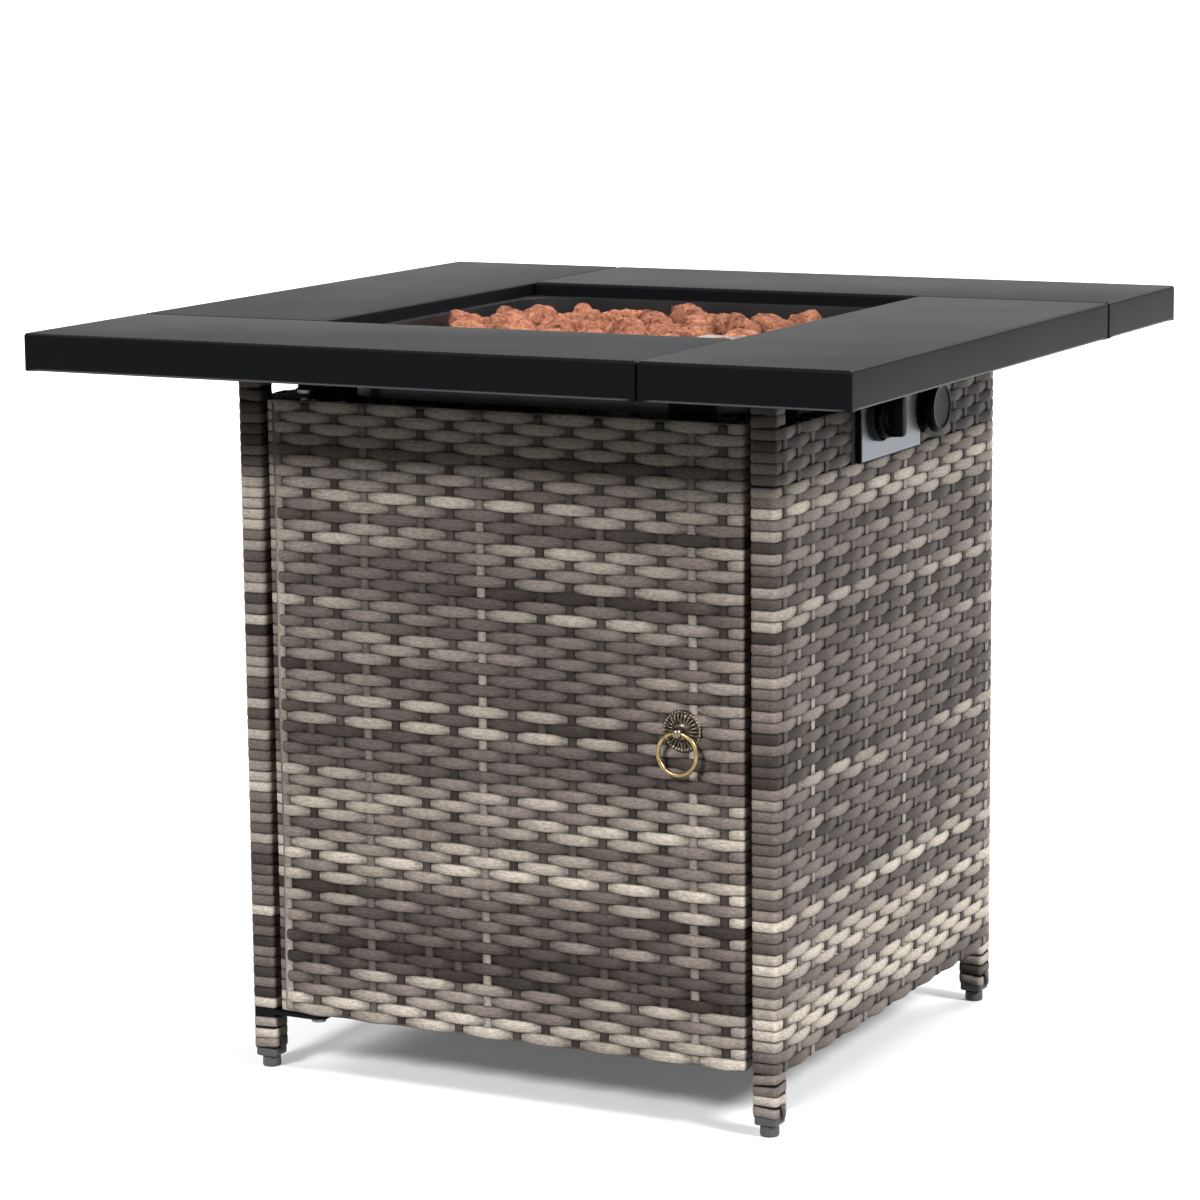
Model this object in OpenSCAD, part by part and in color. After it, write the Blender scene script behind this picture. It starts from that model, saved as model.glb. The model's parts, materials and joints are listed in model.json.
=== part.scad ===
// Square gas fire pit table: a folded steel top round a burner pan, on a woven
// cabinet with a pivoting front door. Millimetres, +Z up, door towards -Y,
// controls on the +X side, origin on the floor under the middle of the top.

/* [Table top] */
// Side of the square top
top_w = 711; // [690:1:780]
// Height of the top face above the floor
top_h = 620; // [600:1:680]
// Depth of the folded edge
fascia_h = 30; // [24:1:40]
// Side of the square opening for the burner pan
opening_w = 370; // [350:1:376]
// Thickness of the folded steel sheet
sheet_t = 1.5; // [1:0.1:2.5]
// Seam between neighbouring top panels
seam = 0.6; // [0.4:0.1:1.5]
// Depth of the ledge that carries the burner pan below the top face
ledge_drop = 13; // [9:1:18]
// Width of that ledge
ledge_w = 8; // [6:1:12]

/* [Cabinet] */
// Width over the woven sides
body_w = 478; // [470:1:520]
// Depth over the woven front and back
body_d = 456; // [450:1:520]
// Side of the square post tube
post_w = 19; // [18:0.5:22]
// Wall of the steel tubes
tube_t = 1.2; // [1:0.1:2]
// Thickness of the strands wrapped round a tube
wrap_t = 2; // [1.5:0.1:3]
// Thickness of the woven panels
weave_t = 5; // [4:0.5:7]
// Rows of strand in a woven panel
weave_rows = 58; // [40:1:70]
// Spacing of the upright stakes that the strands cross
stake_gap = 26.4; // [20:0.2:34]
// Rise of a strand where it crosses over a stake
float_h = 2; // [1:0.1:2.4]
// Bottom of the woven panels above the floor
body_z0 = 52; // [46:1:70]
// Top of the woven side and back panels below the top face
body_drop = 63; // [58:1:72]
// Width of the panel rails
rail_w = 15; // [14:0.5:16]
// Height of the panel rails
rail_h = 16; // [14:0.5:18]

/* [Door] */
// Gap between the door and the wrapped posts
door_gap = 4; // [3.5:0.5:7]
// Thickness of the door over the wrapping
door_t = 20; // [18:0.5:22]
// Pivot pin in from the hinged edge of the door
pivot_in = 32; // [28:1:40]
// Diameter of the pivot pins
pin_d = 8; // [6:0.5:9]
// Gap between the door and the hinge brackets
door_lift = 2; // [1.5:0.1:4]
// Ring pull in from the free edge of the door
pull_in = 52; // [45:1:90]
// Height of the ring pull above the floor
pull_z = 319; // [250:1:400]
// Diameter of the rosette behind the ring pull
rosette_d = 33; // [30:1:44]
// Outer diameter of the ring pull
ring_d = 36.5; // [32:0.5:44]
// Wire diameter of the ring pull
ring_wire = 3.5; // [2.5:0.1:4]

/* [Controls] */
// Width of the label plate
label_w = 120; // [112:1:130]
// Middle of the label plate along the side
label_y = -13.5; // [-24:0.5:-4]
// Bottom of the control box below the top face
box_drop = 108; // [104:1:114]
// Knob middle from the front edge of the label
knob_in = 30; // [28:1:36]
// Knob middle below the top face
knob_drop = 72; // [68:1:76]
// Diameter of the knob
knob_d = 38; // [32:1:40]
// Travel of the knob when pressed
knob_push = 4; // [2:0.5:5]
// Igniter middle behind the rear edge of the label
igniter_out = 13; // [11:1:18]
// Igniter middle below the top face
igniter_drop = 77; // [72:1:80]
// Diameter of the igniter cap
igniter_d = 42; // [36:1:42]
// Travel of the igniter cap when pressed
igniter_push = 4; // [2:0.5:4.5]

/* [Burner] */
// Depth of the burner pan below the top face
pan_drop = 62; // [56:1:70]
// Corner radius of the burner pan
pan_r = 45; // [30:1:60]
// Middle radius of the burner ring
burner_r = 70; // [60:1:72]
// Diameter of the burner tube
burner_d = 18; // [14:1:18]
// Gas ports round the burner ring
ports = 20; // [12:1:28]
// Spacing of the lava rocks
rock_pitch = 36; // [32:1:42]

/* [Feet] */
// Diameter of the levelling feet
foot_d = 15.5; // [14:0.5:18]
// Height of the levelling feet, screwed in
foot_h = 9; // [8:1:18]
// Height of the square collars above the feet
collar_h = 7; // [3:0.5:9]
// Corner radius of the square collars
collar_r = 2; // [1:0.5:4]

/* [Hidden] */
$fn = 48;
// radial clearance of a running fit
run_fit = 0.05;
// clearance of a part that passes freely
free_fit = 0.3;
// small overlap that keeps a cut open
eps = 0.05;

top_r = top_w / 2;
open_r = opening_w / 2;
plate_z = top_h - sheet_t;
ledge_z = top_h - ledge_drop;
lip_w = 10;

body_x = body_w / 2;
body_y = body_d / 2;
body_z1 = top_h - body_drop;
wrap_w = post_w + 2 * wrap_t;
wrap_r = 5;
post_x = body_x - wrap_w / 2;
post_y = body_y - wrap_w / 2;
post_top = plate_z - post_w;
wrap_top = post_top - 22;
post_in = body_x - wrap_w;
rail_x1 = body_x - weave_t;
rail_x0 = rail_x1 - rail_w;
rail_y1 = body_y - weave_t;
rail_y0 = rail_y1 - rail_w;

foot_gap = 0.5;
collar_z = foot_h + foot_gap;
post_z0 = collar_z + collar_h;
stud_d = 8;
plug_h = 22;
foot_push = 8;

// studs that hold the top panels, in the frame of the front panel
stud_w = 5;
stud_xs = [-150, 105];
stud_y = (top_r + open_r) / 2;
tab_t = 2;
tab_w = 22;
nut_h = 4;

// door
door_x = body_x - wrap_w - door_gap;
door_z0 = body_z0;
door_z1 = body_z1 + 3;
door_y0 = -body_y;
door_y1 = door_y0 + door_t;
frame_w = door_t - 2 * wrap_t;
pivot_x = -door_x + pivot_in;
pivot_y = (door_y0 + door_y1) / 2;
brk_t = 3;
brk_z1 = door_z0 - door_lift;
brk_z0 = brk_z1 - brk_t;
top_brk_z0 = door_z1 + door_lift;
pull_x = door_x - pull_in;
pull_ball = 9;
pull_hole = 5.2;
pull_base = 5;
pull_y = door_y0 - pull_base - pull_ball / 2 - 1;
ring_r = (ring_d - ring_wire) / 2;
catch_x = door_x - 56;
catch_w = 40;
catch_t = 1.5;
magnet_t = 6;
strike_t = 1.2;

// controls on the right side
label_y0 = label_y - label_w / 2;
label_y1 = label_y + label_w / 2;
box_y0 = label_y0 - 1;
box_y1 = label_y1 + 1;
box_z0 = top_h - box_drop;
box_z1 = post_top - 22;
box_t = 2;
box_x1 = body_x + 4;
box_x0 = box_x1 - box_t;
label_t = 1;
label_x = box_x1 + label_t;
knob_y = label_y0 + knob_in;
knob_z = top_h - knob_drop;
ign_y = label_y1 + igniter_out;
ign_z = top_h - igniter_drop;
ign_flange = igniter_d + 2;
ear_y1 = ign_y + ign_flange / 2 - 1;
ear_z0 = ign_z - ign_flange / 2 + 1;
mid_z1 = box_z0;
mid_z0 = mid_z1 - rail_h;
notch_y0 = box_y0 - 2;
notch_y1 = ear_y1 + 2;
spindle_d = 8;
bezel_d = knob_d + 5;
bezel_h = 6;
bezel_floor = 1.5;
knob_x0 = label_x + bezel_floor + knob_push + free_fit;
knob_len = 18;
valve_d = 26;
valve_len = 52;
valve_x0 = box_x0 - valve_len;
plug_d = 14;
plug_x0 = valve_x0 + 9;
plug_len = 20;
valve_out_x = valve_x0 + 10;
// outside of a 5/8-18 flare thread
inlet_d = 15.9;
inlet_len = 28;

// burner
pan_t = 1.2;
pan_w = opening_w - 2 * ledge_w - 3;
pan_z0 = top_h - pan_drop;
floor_z = pan_z0 + pan_t;
burner_z = floor_z + 5 + burner_d / 2;
stub_d = 16;
stub_z0 = pan_z0 - 22;
mixer_z1 = pan_z0 - 14;
mixer_z0 = pan_z0 - 68;
mixer_d = 24;
orifice_z0 = mixer_z0 - 16;
orifice_y = mixer_z0 - 8;
pipe_d = 8;
pipe_bend = 18;
pipe_z = orifice_y;
spark_x = burner_r + 30;
spark_y = -40;
spark_z0 = pan_z0 - 14;
lead_d = 4;
lead_z = pan_z0 - 58;
lead_bend = 14;
ign_term_x = box_x0 - 30;
ign_barrel_d = 24;
ign_barrel_x0 = box_x0 - 44;
shield_x = 36;
shield_y = 40;
shield_top = top_h - 17;

// box between two corners
module block(x0, x1, y0, y1, z0, z1) {
    translate([x0, y0, z0]) cube([x1 - x0, y1 - y0, z1 - z0]);
}

// cylinders along each axis from a start point
module rod_x(d, x0, x1, y, z) {
    translate([x0, y, z]) rotate([0, 90, 0]) cylinder(d = d, h = x1 - x0);
}
module rod_y(d, y0, y1, x, z) {
    translate([x, y1, z]) rotate([90, 0, 0]) cylinder(d = d, h = y1 - y0);
}
module rod_z(d, z0, z1, x, y) {
    translate([x, y, z0]) cylinder(d = d, h = z1 - z0);
}

// hexagon prism along z, by width across flats
module hex_z(af, z0, z1) {
    translate([0, 0, z0]) cylinder(d = af / cos(30), h = z1 - z0, $fn = 6);
}

// rectangle with round corners
module round_rect(w, d, r) {
    square([w - 2 * r, d], center = true);
    square([w, d - 2 * r], center = true);
    for (x = [-1, 1], y = [-1, 1])
        translate([x * (w / 2 - r), y * (d / 2 - r)]) circle(r = r);
}

// one folded top panel, drawn as the front one
module top_panel() {
    x1 = open_r - seam;
    z0 = top_h - fascia_h;
    block(-top_r, x1, -top_r, -open_r, plate_z, top_h);
    block(-top_r, x1, -top_r, -top_r + sheet_t, z0, top_h);
    block(-top_r, -top_r + sheet_t, -top_r, -open_r, z0, top_h);
    block(-top_r, x1, -top_r, -top_r + lip_w, z0, z0 + sheet_t);
    block(-top_r, -top_r + lip_w, -top_r, -open_r, z0, z0 + sheet_t);
    block(-open_r, x1, -open_r - sheet_t, -open_r, ledge_z - sheet_t, top_h);
    block(-open_r + ledge_w + seam, x1, -open_r - sheet_t, -open_r + ledge_w,
        ledge_z - sheet_t, ledge_z);
    for (x = stud_xs)
        rod_z(stud_w, plate_z - tab_t - nut_h - 3, plate_z + eps, x, -stud_y);
}
module top_panel_front() color("#26272b") top_panel();
module top_panel_right() color("#26272b") rotate([0, 0, 90]) top_panel();
module top_panel_back() color("#26272b") rotate([0, 0, 180]) top_panel();
module top_panel_left() color("#26272b") rotate([0, 0, 270]) top_panel();

// rectangular tube frame under the top, with plugs that enter the posts
module top_frame() {
    z0 = post_top;
    z1 = plate_z;
    w = post_w / 2;
    i = w - tube_t;
    zi0 = z0 + tube_t;
    zi1 = z1 - tube_t;
    plug = post_w - 2 * tube_t;
    color("#1b1c1e") difference() {
        union() {
            for (s = [-1, 1]) {
                block(-post_x - w, post_x + w, s * post_y - w, s * post_y + w, z0, z1);
                block(s * post_x - w, s * post_x + w, -post_y, post_y, z0, z1);
                for (t = [-1, 1])
                    block(s * post_x - plug / 2, s * post_x + plug / 2,
                        t * post_y - plug / 2, t * post_y + plug / 2, z0 - 32, z0 + eps);
            }
            for (k = [0 : 3], x = stud_xs)
                rotate([0, 0, 90 * k]) {
                    y_in = (k % 2 == 0) ? post_y : post_x;
                    block(x - tab_w / 2, x + tab_w / 2, -stud_y - tab_w / 2, -y_in,
                        z1 - tab_t, z1);
                }
        }
        for (s = [-1, 1]) {
            block(-post_x - w - eps, post_x + w + eps, s * post_y - i, s * post_y + i, zi0, zi1);
            block(s * post_x - i, s * post_x + i, -post_y, post_y, zi0, zi1);
        }
        for (k = [0 : 3], x = stud_xs)
            rotate([0, 0, 90 * k])
                rod_z(stud_w + 2 * free_fit, z1 - tab_t - eps, z1 + eps, x, -stud_y);
        for (s = [-1, 1], t = [-1, 1]) post_screw_bore(s, t);
        for (x = [pivot_x - 7, pivot_x + 7, catch_x - 12, catch_x + 12])
            rod_z(4, z0 - eps, z0 + tube_t + eps, x, -post_y);
    }
}

// nuts on the panel studs
module top_nuts() {
    z1 = plate_z - tab_t;
    color("#9a9da1")
        for (k = [0 : 3], x = stud_xs)
            rotate([0, 0, 90 * k]) translate([x, -stud_y, 0]) difference() {
                hex_z(8, z1 - nut_h, z1);
                rod_z(stud_w + 2 * run_fit, z1 - nut_h - eps, z1 + eps, 0, 0);
            }
}

// screws that lock the frame plugs in the post tops
post_screw_d = 5;
post_screw_z = post_top - 11;
module post_screw_bore(s, t) {
    inner = post_x - post_w / 2;
    rod_x(post_screw_d, (s > 0 ? inner - eps : -inner - 13),
        (s > 0 ? inner + 13 : -inner + eps), t * post_y, post_screw_z);
}
module post_screws() {
    inner = post_x - post_w / 2;
    color("#3a3b3e")
        for (s = [-1, 1], t = [-1, 1]) {
            post_screw_bore(s, t);
            rod_x(10, (s > 0 ? inner - 3 : -inner), (s > 0 ? inner : -inner + 3),
                t * post_y, post_screw_z);
        }
}

// post tube with its holes left to the frame that owns it
module post(s, t) {
    translate([s * post_x, t * post_y, 0]) difference() {
        block(-post_w / 2, post_w / 2, -post_w / 2, post_w / 2, post_z0, post_top);
        block(-post_w / 2 + tube_t, post_w / 2 - tube_t, -post_w / 2 + tube_t,
            post_w / 2 - tube_t, post_z0 - eps, post_top + eps);
    }
}

// closed rail along y on the side s, open at the ends into the posts
module side_rail(s, y0, y1, z0) {
    xa = (s > 0) ? rail_x0 : -rail_x1;
    difference() {
        block(xa, xa + rail_w, y0, y1, z0, z0 + rail_h);
        block(xa + tube_t, xa + rail_w - tube_t, y0 - eps, y1 + eps,
            z0 + tube_t, z0 + rail_h - tube_t);
    }
}

// bolts that hold the back frame between the back posts
bolt_d = 6;
bolt_zs = [body_z0 + 60, body_z1 - 60];
module back_bolt_bores(d) {
    y = (rail_y0 + rail_y1) / 2;
    for (s = [-1, 1], z = bolt_zs)
        rod_x(d, (s > 0 ? post_in - rail_h : -post_in - 6),
            (s > 0 ? post_in + 6 : -post_in + rail_h), y, z);
}
module frame_bolts() {
    y = (rail_y0 + rail_y1) / 2;
    color("#3a3b3e") {
        back_bolt_bores(bolt_d);
        for (s = [-1, 1], z = bolt_zs)
            rod_x(11, (s > 0 ? post_in - rail_h - 4 : -post_in + rail_h),
                (s > 0 ? post_in - rail_h : -post_in + rail_h + 4), y, z);
    }
}

post_y_in = post_y - post_w / 2;
module side_frame_left() {
    color("#1b1c1e") difference() {
        union() {
            for (t = [-1, 1]) post(-1, t);
            side_rail(-1, -post_y_in, post_y_in, body_z0);
            side_rail(-1, -post_y_in, post_y_in, body_z1 - rail_h);
        }
        for (t = [-1, 1]) post_screw_bore(-1, t);
        back_bolt_bores(bolt_d);
    }
}

// right side frame: its upper rail drops under the control box
module side_frame_right() {
    color("#1b1c1e") difference() {
        union() {
            for (t = [-1, 1]) post(1, t);
            side_rail(1, -post_y_in, post_y_in, body_z0);
            side_rail(1, -post_y_in, post_y_in, mid_z0);
            block(rail_x0, rail_x1, notch_y0 - rail_h, notch_y0, mid_z1, body_z1);
            block(rail_x0, rail_x1, notch_y1, notch_y1 + rail_h, mid_z1, body_z1);
            side_rail(1, -post_y_in, notch_y0 - rail_h, body_z1 - rail_h);
            side_rail(1, notch_y1 + rail_h, post_y_in, body_z1 - rail_h);
        }
        for (t = [-1, 1]) post_screw_bore(1, t);
        back_bolt_bores(bolt_d);
        for (y = box_screw_ys) rod_z(4, mid_z1 - 8, mid_z1 + eps, box_screw_x, y);
    }
}

// strands wound round one post
module post_wrap(s, t) {
    translate([s * post_x, t * post_y, post_z0]) linear_extrude(wrap_top - post_z0)
        difference() {
            round_rect(wrap_w, wrap_w, wrap_r);
            square(post_w, center = true);
        }
}

// rails cut through the wrapping where they meet the posts
module rail_cut(s, z0, z1) {
    xa = (s > 0) ? rail_x0 : -rail_x1;
    block(xa, xa + rail_w, -post_y_in, post_y_in, z0, z1);
}

// rows of plain weave on a panel whose face is x = 0: each row rises over every other stake,
// opposite to the row below; first is the place of stake 0 along y
row_gap = 0.6;
float_z = 0.3;
weave_out = float_z + float_h;
module weave_courses(y0, y1, z0, z1, first) {
    pitch = (z1 - z0) / weave_rows;
    stakes = [for (j = [0 : ceil((y1 - first) / stake_gap)]) let (y = first + j * stake_gap)
        if (y > y0 + 4 && y < y1 - 4) [j, y]];
    for (k = [0 : weave_rows - 1]) {
        rise = [for (q = stakes) [float_z + ((q[0] + k) % 2) * float_h, q[1]]];
        translate([0, 0, z0 + k * pitch + row_gap / 2]) linear_extrude(pitch - row_gap)
            polygon(concat([[-1, y0], [float_z, y0]], rise, [[float_z, y1], [-1, y1]]));
    }
}

post_y_out = post_y - wrap_w / 2;
side_first = -stake_gap * floor(body_y / stake_gap);
module weave_left() {
    color("#7d746d") difference() {
        union() {
            for (t = [-1, 1]) post_wrap(-1, t);
            block(-body_x, -rail_x1, -post_y_out - 1, post_y_out + 1, body_z0, body_z1);
            translate([-body_x, 0, 0]) mirror([1, 0, 0])
                weave_courses(-post_y_out + 1, post_y_out - 1, body_z0, body_z1, side_first);
        }
        rail_cut(-1, body_z0, body_z0 + rail_h);
        rail_cut(-1, body_z1 - rail_h, body_z1);
        back_bolt_bores(bolt_d + 2 * free_fit);
        block(-post_x, -post_in + 1, -post_y - post_w / 2 - wrap_t - 1,
            -post_y + post_w / 2 + free_fit, brk_z0 - free_fit, brk_z1 + free_fit);
    }
}
module weave_right() {
    color("#7d746d") difference() {
        union() {
            for (t = [-1, 1]) post_wrap(1, t);
            block(rail_x1, body_x, -post_y_out - 1, post_y_out + 1, body_z0, body_z1);
            translate([body_x, 0, 0])
                weave_courses(-post_y_out + 1, post_y_out - 1, body_z0, body_z1, side_first);
        }
        rail_cut(1, body_z0, body_z0 + rail_h);
        rail_cut(1, mid_z0, mid_z1);
        rail_cut(1, body_z1 - rail_h, body_z1);
        back_bolt_bores(bolt_d + 2 * free_fit);
        block(rail_x1 - eps, body_x + weave_out + 1, notch_y0, box_y1 + 2, mid_z1, body_z1 + 1);
        block(rail_x1 - eps, body_x + weave_out + 1, notch_y0, notch_y1, ear_z0 - 2, body_z1 + 1);
    }
}

// back panel: a welded frame between the back posts and its weave
module back_frame() {
    color("#1b1c1e") difference() {
        block(-post_in, post_in, rail_y0, rail_y1, body_z0, body_z1);
        block(-post_in + rail_h, post_in - rail_h, rail_y0 - 1, rail_y1 + 1,
            body_z0 + rail_h, body_z1 - rail_h);
        for (s = [-1, 1])
            block(s * (post_in - rail_h / 2) - rail_h / 2 + tube_t,
                s * (post_in - rail_h / 2) + rail_h / 2 - tube_t,
                rail_y0 + tube_t, rail_y1 - tube_t, body_z0 - 1, body_z1 + 1);
        for (z = [body_z0, body_z1 - rail_h])
            block(-post_in + rail_h / 2, post_in - rail_h / 2, rail_y0 + tube_t,
                rail_y1 - tube_t, z + tube_t, z + rail_h - tube_t);
        back_bolt_bores(bolt_d);
    }
}
module weave_back() {
    color("#7d746d") {
        block(-post_in, post_in, rail_y1, body_y, body_z0, body_z1);
        translate([0, body_y, 0]) rotate([0, 0, 90])
            weave_courses(-post_in + 1, post_in - 1, body_z0, body_z1, side_first);
    }
}

// square foot collars with plugs pressed into the post ends, and the screw feet
module foot_plugs() {
    plug = post_w - 2 * tube_t;
    color("#3d3e41")
        for (s = [-1, 1], t = [-1, 1])
            translate([s * post_x, t * post_y, 0]) difference() {
                union() {
                    translate([0, 0, collar_z]) linear_extrude(collar_h)
                        round_rect(post_w, post_w, collar_r);
                    block(-plug / 2, plug / 2, -plug / 2, plug / 2,
                        post_z0 - eps, post_z0 + plug_h);
                }
                rod_z(stud_d + 2 * run_fit, collar_z - 1, post_z0 + plug_h + 1, 0, 0);
            }
}
module foot(s, t) {
    color("#3d3e41") translate([s * post_x, t * post_y, 0]) {
        rod_z(foot_d, 0, foot_h, 0, 0);
        rod_z(stud_d, foot_h - eps, post_z0 + plug_h + 4, 0, 0);
    }
}
module foot_fl() foot(-1, -1);
module foot_fr() foot(1, -1);
module foot_bl() foot(-1, 1);
module foot_br() foot(1, 1);

// door frame: square tube, solid where the pivot pins enter
frame_x = door_x - wrap_t;
frame_z0 = door_z0 + wrap_t;
frame_z1 = door_z1 - wrap_t;
module frame_envelope() {
    y0 = door_y0 + wrap_t;
    y1 = door_y1 - wrap_t;
    difference() {
        block(-frame_x, frame_x, y0, y1, frame_z0, frame_z1);
        block(-frame_x + frame_w, frame_x - frame_w, y0 - 1, y1 + 1,
            frame_z0 + frame_w, frame_z1 - frame_w);
    }
}
module pivot_bores() {
    for (z = [[door_z0 - 1, door_z0 + 16], [door_z1 - 16, door_z1 + 1]])
        rod_z(pin_d + 2 * run_fit, z[0], z[1], pivot_x, pivot_y);
}
module door_frame() {
    y0 = door_y0 + wrap_t + tube_t;
    y1 = door_y1 - wrap_t - tube_t;
    color("#1b1c1e") difference() {
        frame_envelope();
        for (z = [frame_z0, frame_z1 - frame_w])
            block(pivot_x + 10, frame_x - frame_w / 2, y0, y1,
                z + tube_t, z + frame_w - tube_t);
        block(frame_x - frame_w + tube_t, frame_x - tube_t, y0, y1,
            frame_z0 + tube_t, frame_z1 + 1);
        block(-frame_x + tube_t, -frame_x + frame_w - tube_t, y0, y1,
            frame_z0 + frame_w, frame_z1 + 1);
        pivot_bores();
    }
}

// woven door skin, wrapped round the frame
module weave_door() {
    inner = frame_w + wrap_t;
    color("#7d746d") difference() {
        union() {
            translate([0, (door_y0 + door_y1) / 2, door_z0])
                linear_extrude(door_z1 - door_z0) round_rect(2 * door_x, door_t, wrap_r);
            translate([0, door_y0, 0]) rotate([0, 0, -90])
                weave_courses(-door_x + 6, door_x - 6, door_z0, door_z1, -door_x + 11);
        }
        rod_y(rosette_d + 2 * free_fit, door_y0 - weave_out - 1, door_y0, pull_x, pull_z);
        frame_envelope();
        block(-frame_x + inner, frame_x - inner, door_y0 + weave_t, door_y1 + 1,
            frame_z0 + inner, frame_z1 - inner);
        pivot_bores();
        rod_y(pull_stud + 2 * run_fit, door_y0 - 1, door_y0 + weave_t + 1, pull_x, pull_z);
    }
}

// pivot brackets: the lower one on the post, the upper one under the top frame
module pivot_plate(x0, y1, z0) {
    y0 = pivot_y - 9;
    x1 = pivot_x + 9;
    cut = 6;
    translate([0, 0, z0]) linear_extrude(brk_t) difference() {
        polygon([[x0, y0], [x1 - cut, y0], [x1, y0 + cut], [x1, y1], [x0, y1]]);
        translate([pivot_x, pivot_y]) circle(d = pin_d + 2 * run_fit);
    }
}
module hinge_bracket_bottom() {
    color("#17181a") pivot_plate(-post_x + post_w / 2, -post_y + post_w / 2, brk_z0);
}
hinge_y1 = pivot_y + 12;
module hinge_bracket_top() {
    color("#17181a") difference() {
        union() {
            pivot_plate(pivot_x - 12, hinge_y1, top_brk_z0);
            block(pivot_x - 12, pivot_x + 9, hinge_y1 - brk_t, hinge_y1,
                top_brk_z0, post_top);
            block(pivot_x - 12, pivot_x + 12, -post_y - 9, hinge_y1,
                post_top - brk_t, post_top);
        }
        for (x = [pivot_x - 7, pivot_x + 7])
            rod_z(4, post_top - brk_t - 1, post_top + 1, x, -post_y);
    }
}
module hinge_screws() {
    color("#3a3b3e")
        for (x = [pivot_x - 7, pivot_x + 7]) {
            rod_z(4, post_top - brk_t - eps, post_top + 5, x, -post_y);
            rod_z(7, post_top - brk_t - 2.5, post_top - brk_t, x, -post_y);
        }
}
module hinge_pins() {
    color("#8c8f93") {
        rod_z(pin_d, brk_z0 - eps, door_z0 + 15, pivot_x, pivot_y);
        rod_z(pin_d + 4, brk_z0 - 3, brk_z0, pivot_x, pivot_y);
        rod_z(pin_d, door_z1 - 15, top_brk_z0 + brk_t + eps, pivot_x, pivot_y);
        rod_z(pin_d + 4, top_brk_z0 + brk_t, top_brk_z0 + brk_t + 3, pivot_x, pivot_y);
    }
}
module hinge_washer() {
    color("#d8d8d4") difference() {
        rod_z(pin_d + 8, brk_z1, door_z0 - 0.1, pivot_x, pivot_y);
        rod_z(pin_d + 2 * run_fit, brk_z1 - 1, door_z0 + 1, pivot_x, pivot_y);
    }
}

// ring pull: domed rosette with an eye, and a free ring through the eye
pull_stud = 6;
module pull_rosette() {
    r = rosette_d / 2;
    color("#4a3b28") difference() {
        union() {
            translate([pull_x, door_y0, pull_z]) rotate([90, 0, 0])
                rotate_extrude() {
                    polygon([[0, 0], [r, 0], [r, 1.6], [r - 2.6, 1.6], [r * 0.45, 3.2],
                        [r * 0.3, pull_base], [0, pull_base]]);
                    translate([r - 1.4, 1.6]) circle(r = 1.1);
                }
            translate([pull_x, pull_y, pull_z]) rotate([0, 0, -45]) sphere(d = pull_ball);
            rod_y(pull_stud, pull_y, door_y0 + weave_t + 8, pull_x, pull_z);
        }
        rod_x(pull_hole, pull_x - pull_ball, pull_x + pull_ball, pull_y, pull_z);
    }
}
module pull_ring() {
    color("#a58a5c") translate([pull_x, pull_y, pull_z - ring_r]) rotate([90, 0, 0])
        rotate_extrude() translate([ring_r, 0]) circle(d = ring_wire);
}
module pull_nut() {
    color("#9a9da1") translate([pull_x, door_y0 + weave_t, pull_z]) rotate([-90, 0, 0])
        difference() {
            union() {
                rod_z(16, 0, 1.5, 0, 0);
                hex_z(10, 1.5 - eps, 6.5);
            }
            rod_z(pull_stud + 2 * run_fit, -1, 8, 0, 0);
        }
}

// magnetic catch behind the free top corner of the door
catch_y = door_y1 + strike_t + 0.2;
catch_z0 = door_z1 - 16;
module catch_bracket() {
    y1 = catch_y + magnet_t;
    y2 = y1 + catch_t;
    color("#17181a") difference() {
        union() {
            block(catch_x - catch_w / 2, catch_x + catch_w / 2, y1, y2, catch_z0, post_top);
            block(catch_x - catch_w / 2, catch_x + catch_w / 2, -post_y - 9, y2,
                post_top - catch_t, post_top);
        }
        for (x = [catch_x - 12, catch_x + 12])
            rod_z(4, post_top - catch_t - 1, post_top + 1, x, -post_y);
    }
}
module catch_screws() {
    color("#3a3b3e")
        for (x = [catch_x - 12, catch_x + 12]) {
            rod_z(4, post_top - catch_t - eps, post_top + 5, x, -post_y);
            rod_z(7, post_top - catch_t - 2.5, post_top - catch_t, x, -post_y);
        }
}
module catch_magnet() {
    color("#2c2d30")
        block(catch_x - catch_w / 2, catch_x + catch_w / 2, catch_y, catch_y + magnet_t,
            catch_z0, catch_z0 + 14);
}
module catch_strike() {
    color("#9a9da1")
        block(catch_x - 17, catch_x + 17, door_y1, door_y1 + strike_t, catch_z0, catch_z0 + 14);
}

// burner pan that hangs by its rim on the panel ledges
module burner_pan() {
    rim = opening_w - 2;
    color("#1d1e20") difference() {
        union() {
            translate([0, 0, ledge_z]) linear_extrude(pan_t) round_rect(rim, rim, 4);
            translate([0, 0, pan_z0]) linear_extrude(ledge_z + pan_t - pan_z0)
                round_rect(pan_w, pan_w, pan_r);
        }
        translate([0, 0, floor_z]) linear_extrude(pan_drop)
            round_rect(pan_w - 2 * pan_t, pan_w - 2 * pan_t, pan_r - pan_t);
        rod_z(stub_d + 2 * run_fit, pan_z0 - 1, floor_z + 1, 0, 0);
        rod_z(spark_d + 2 * run_fit, pan_z0 - 1, floor_z + 1, spark_x, spark_y);
        for (s = [-1, 1], t = [-1, 1])
            rod_z(8, pan_z0 - 1, floor_z + 1, s * (pan_w / 2 - 60), t * (pan_w / 2 - 60));
    }
}

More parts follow.
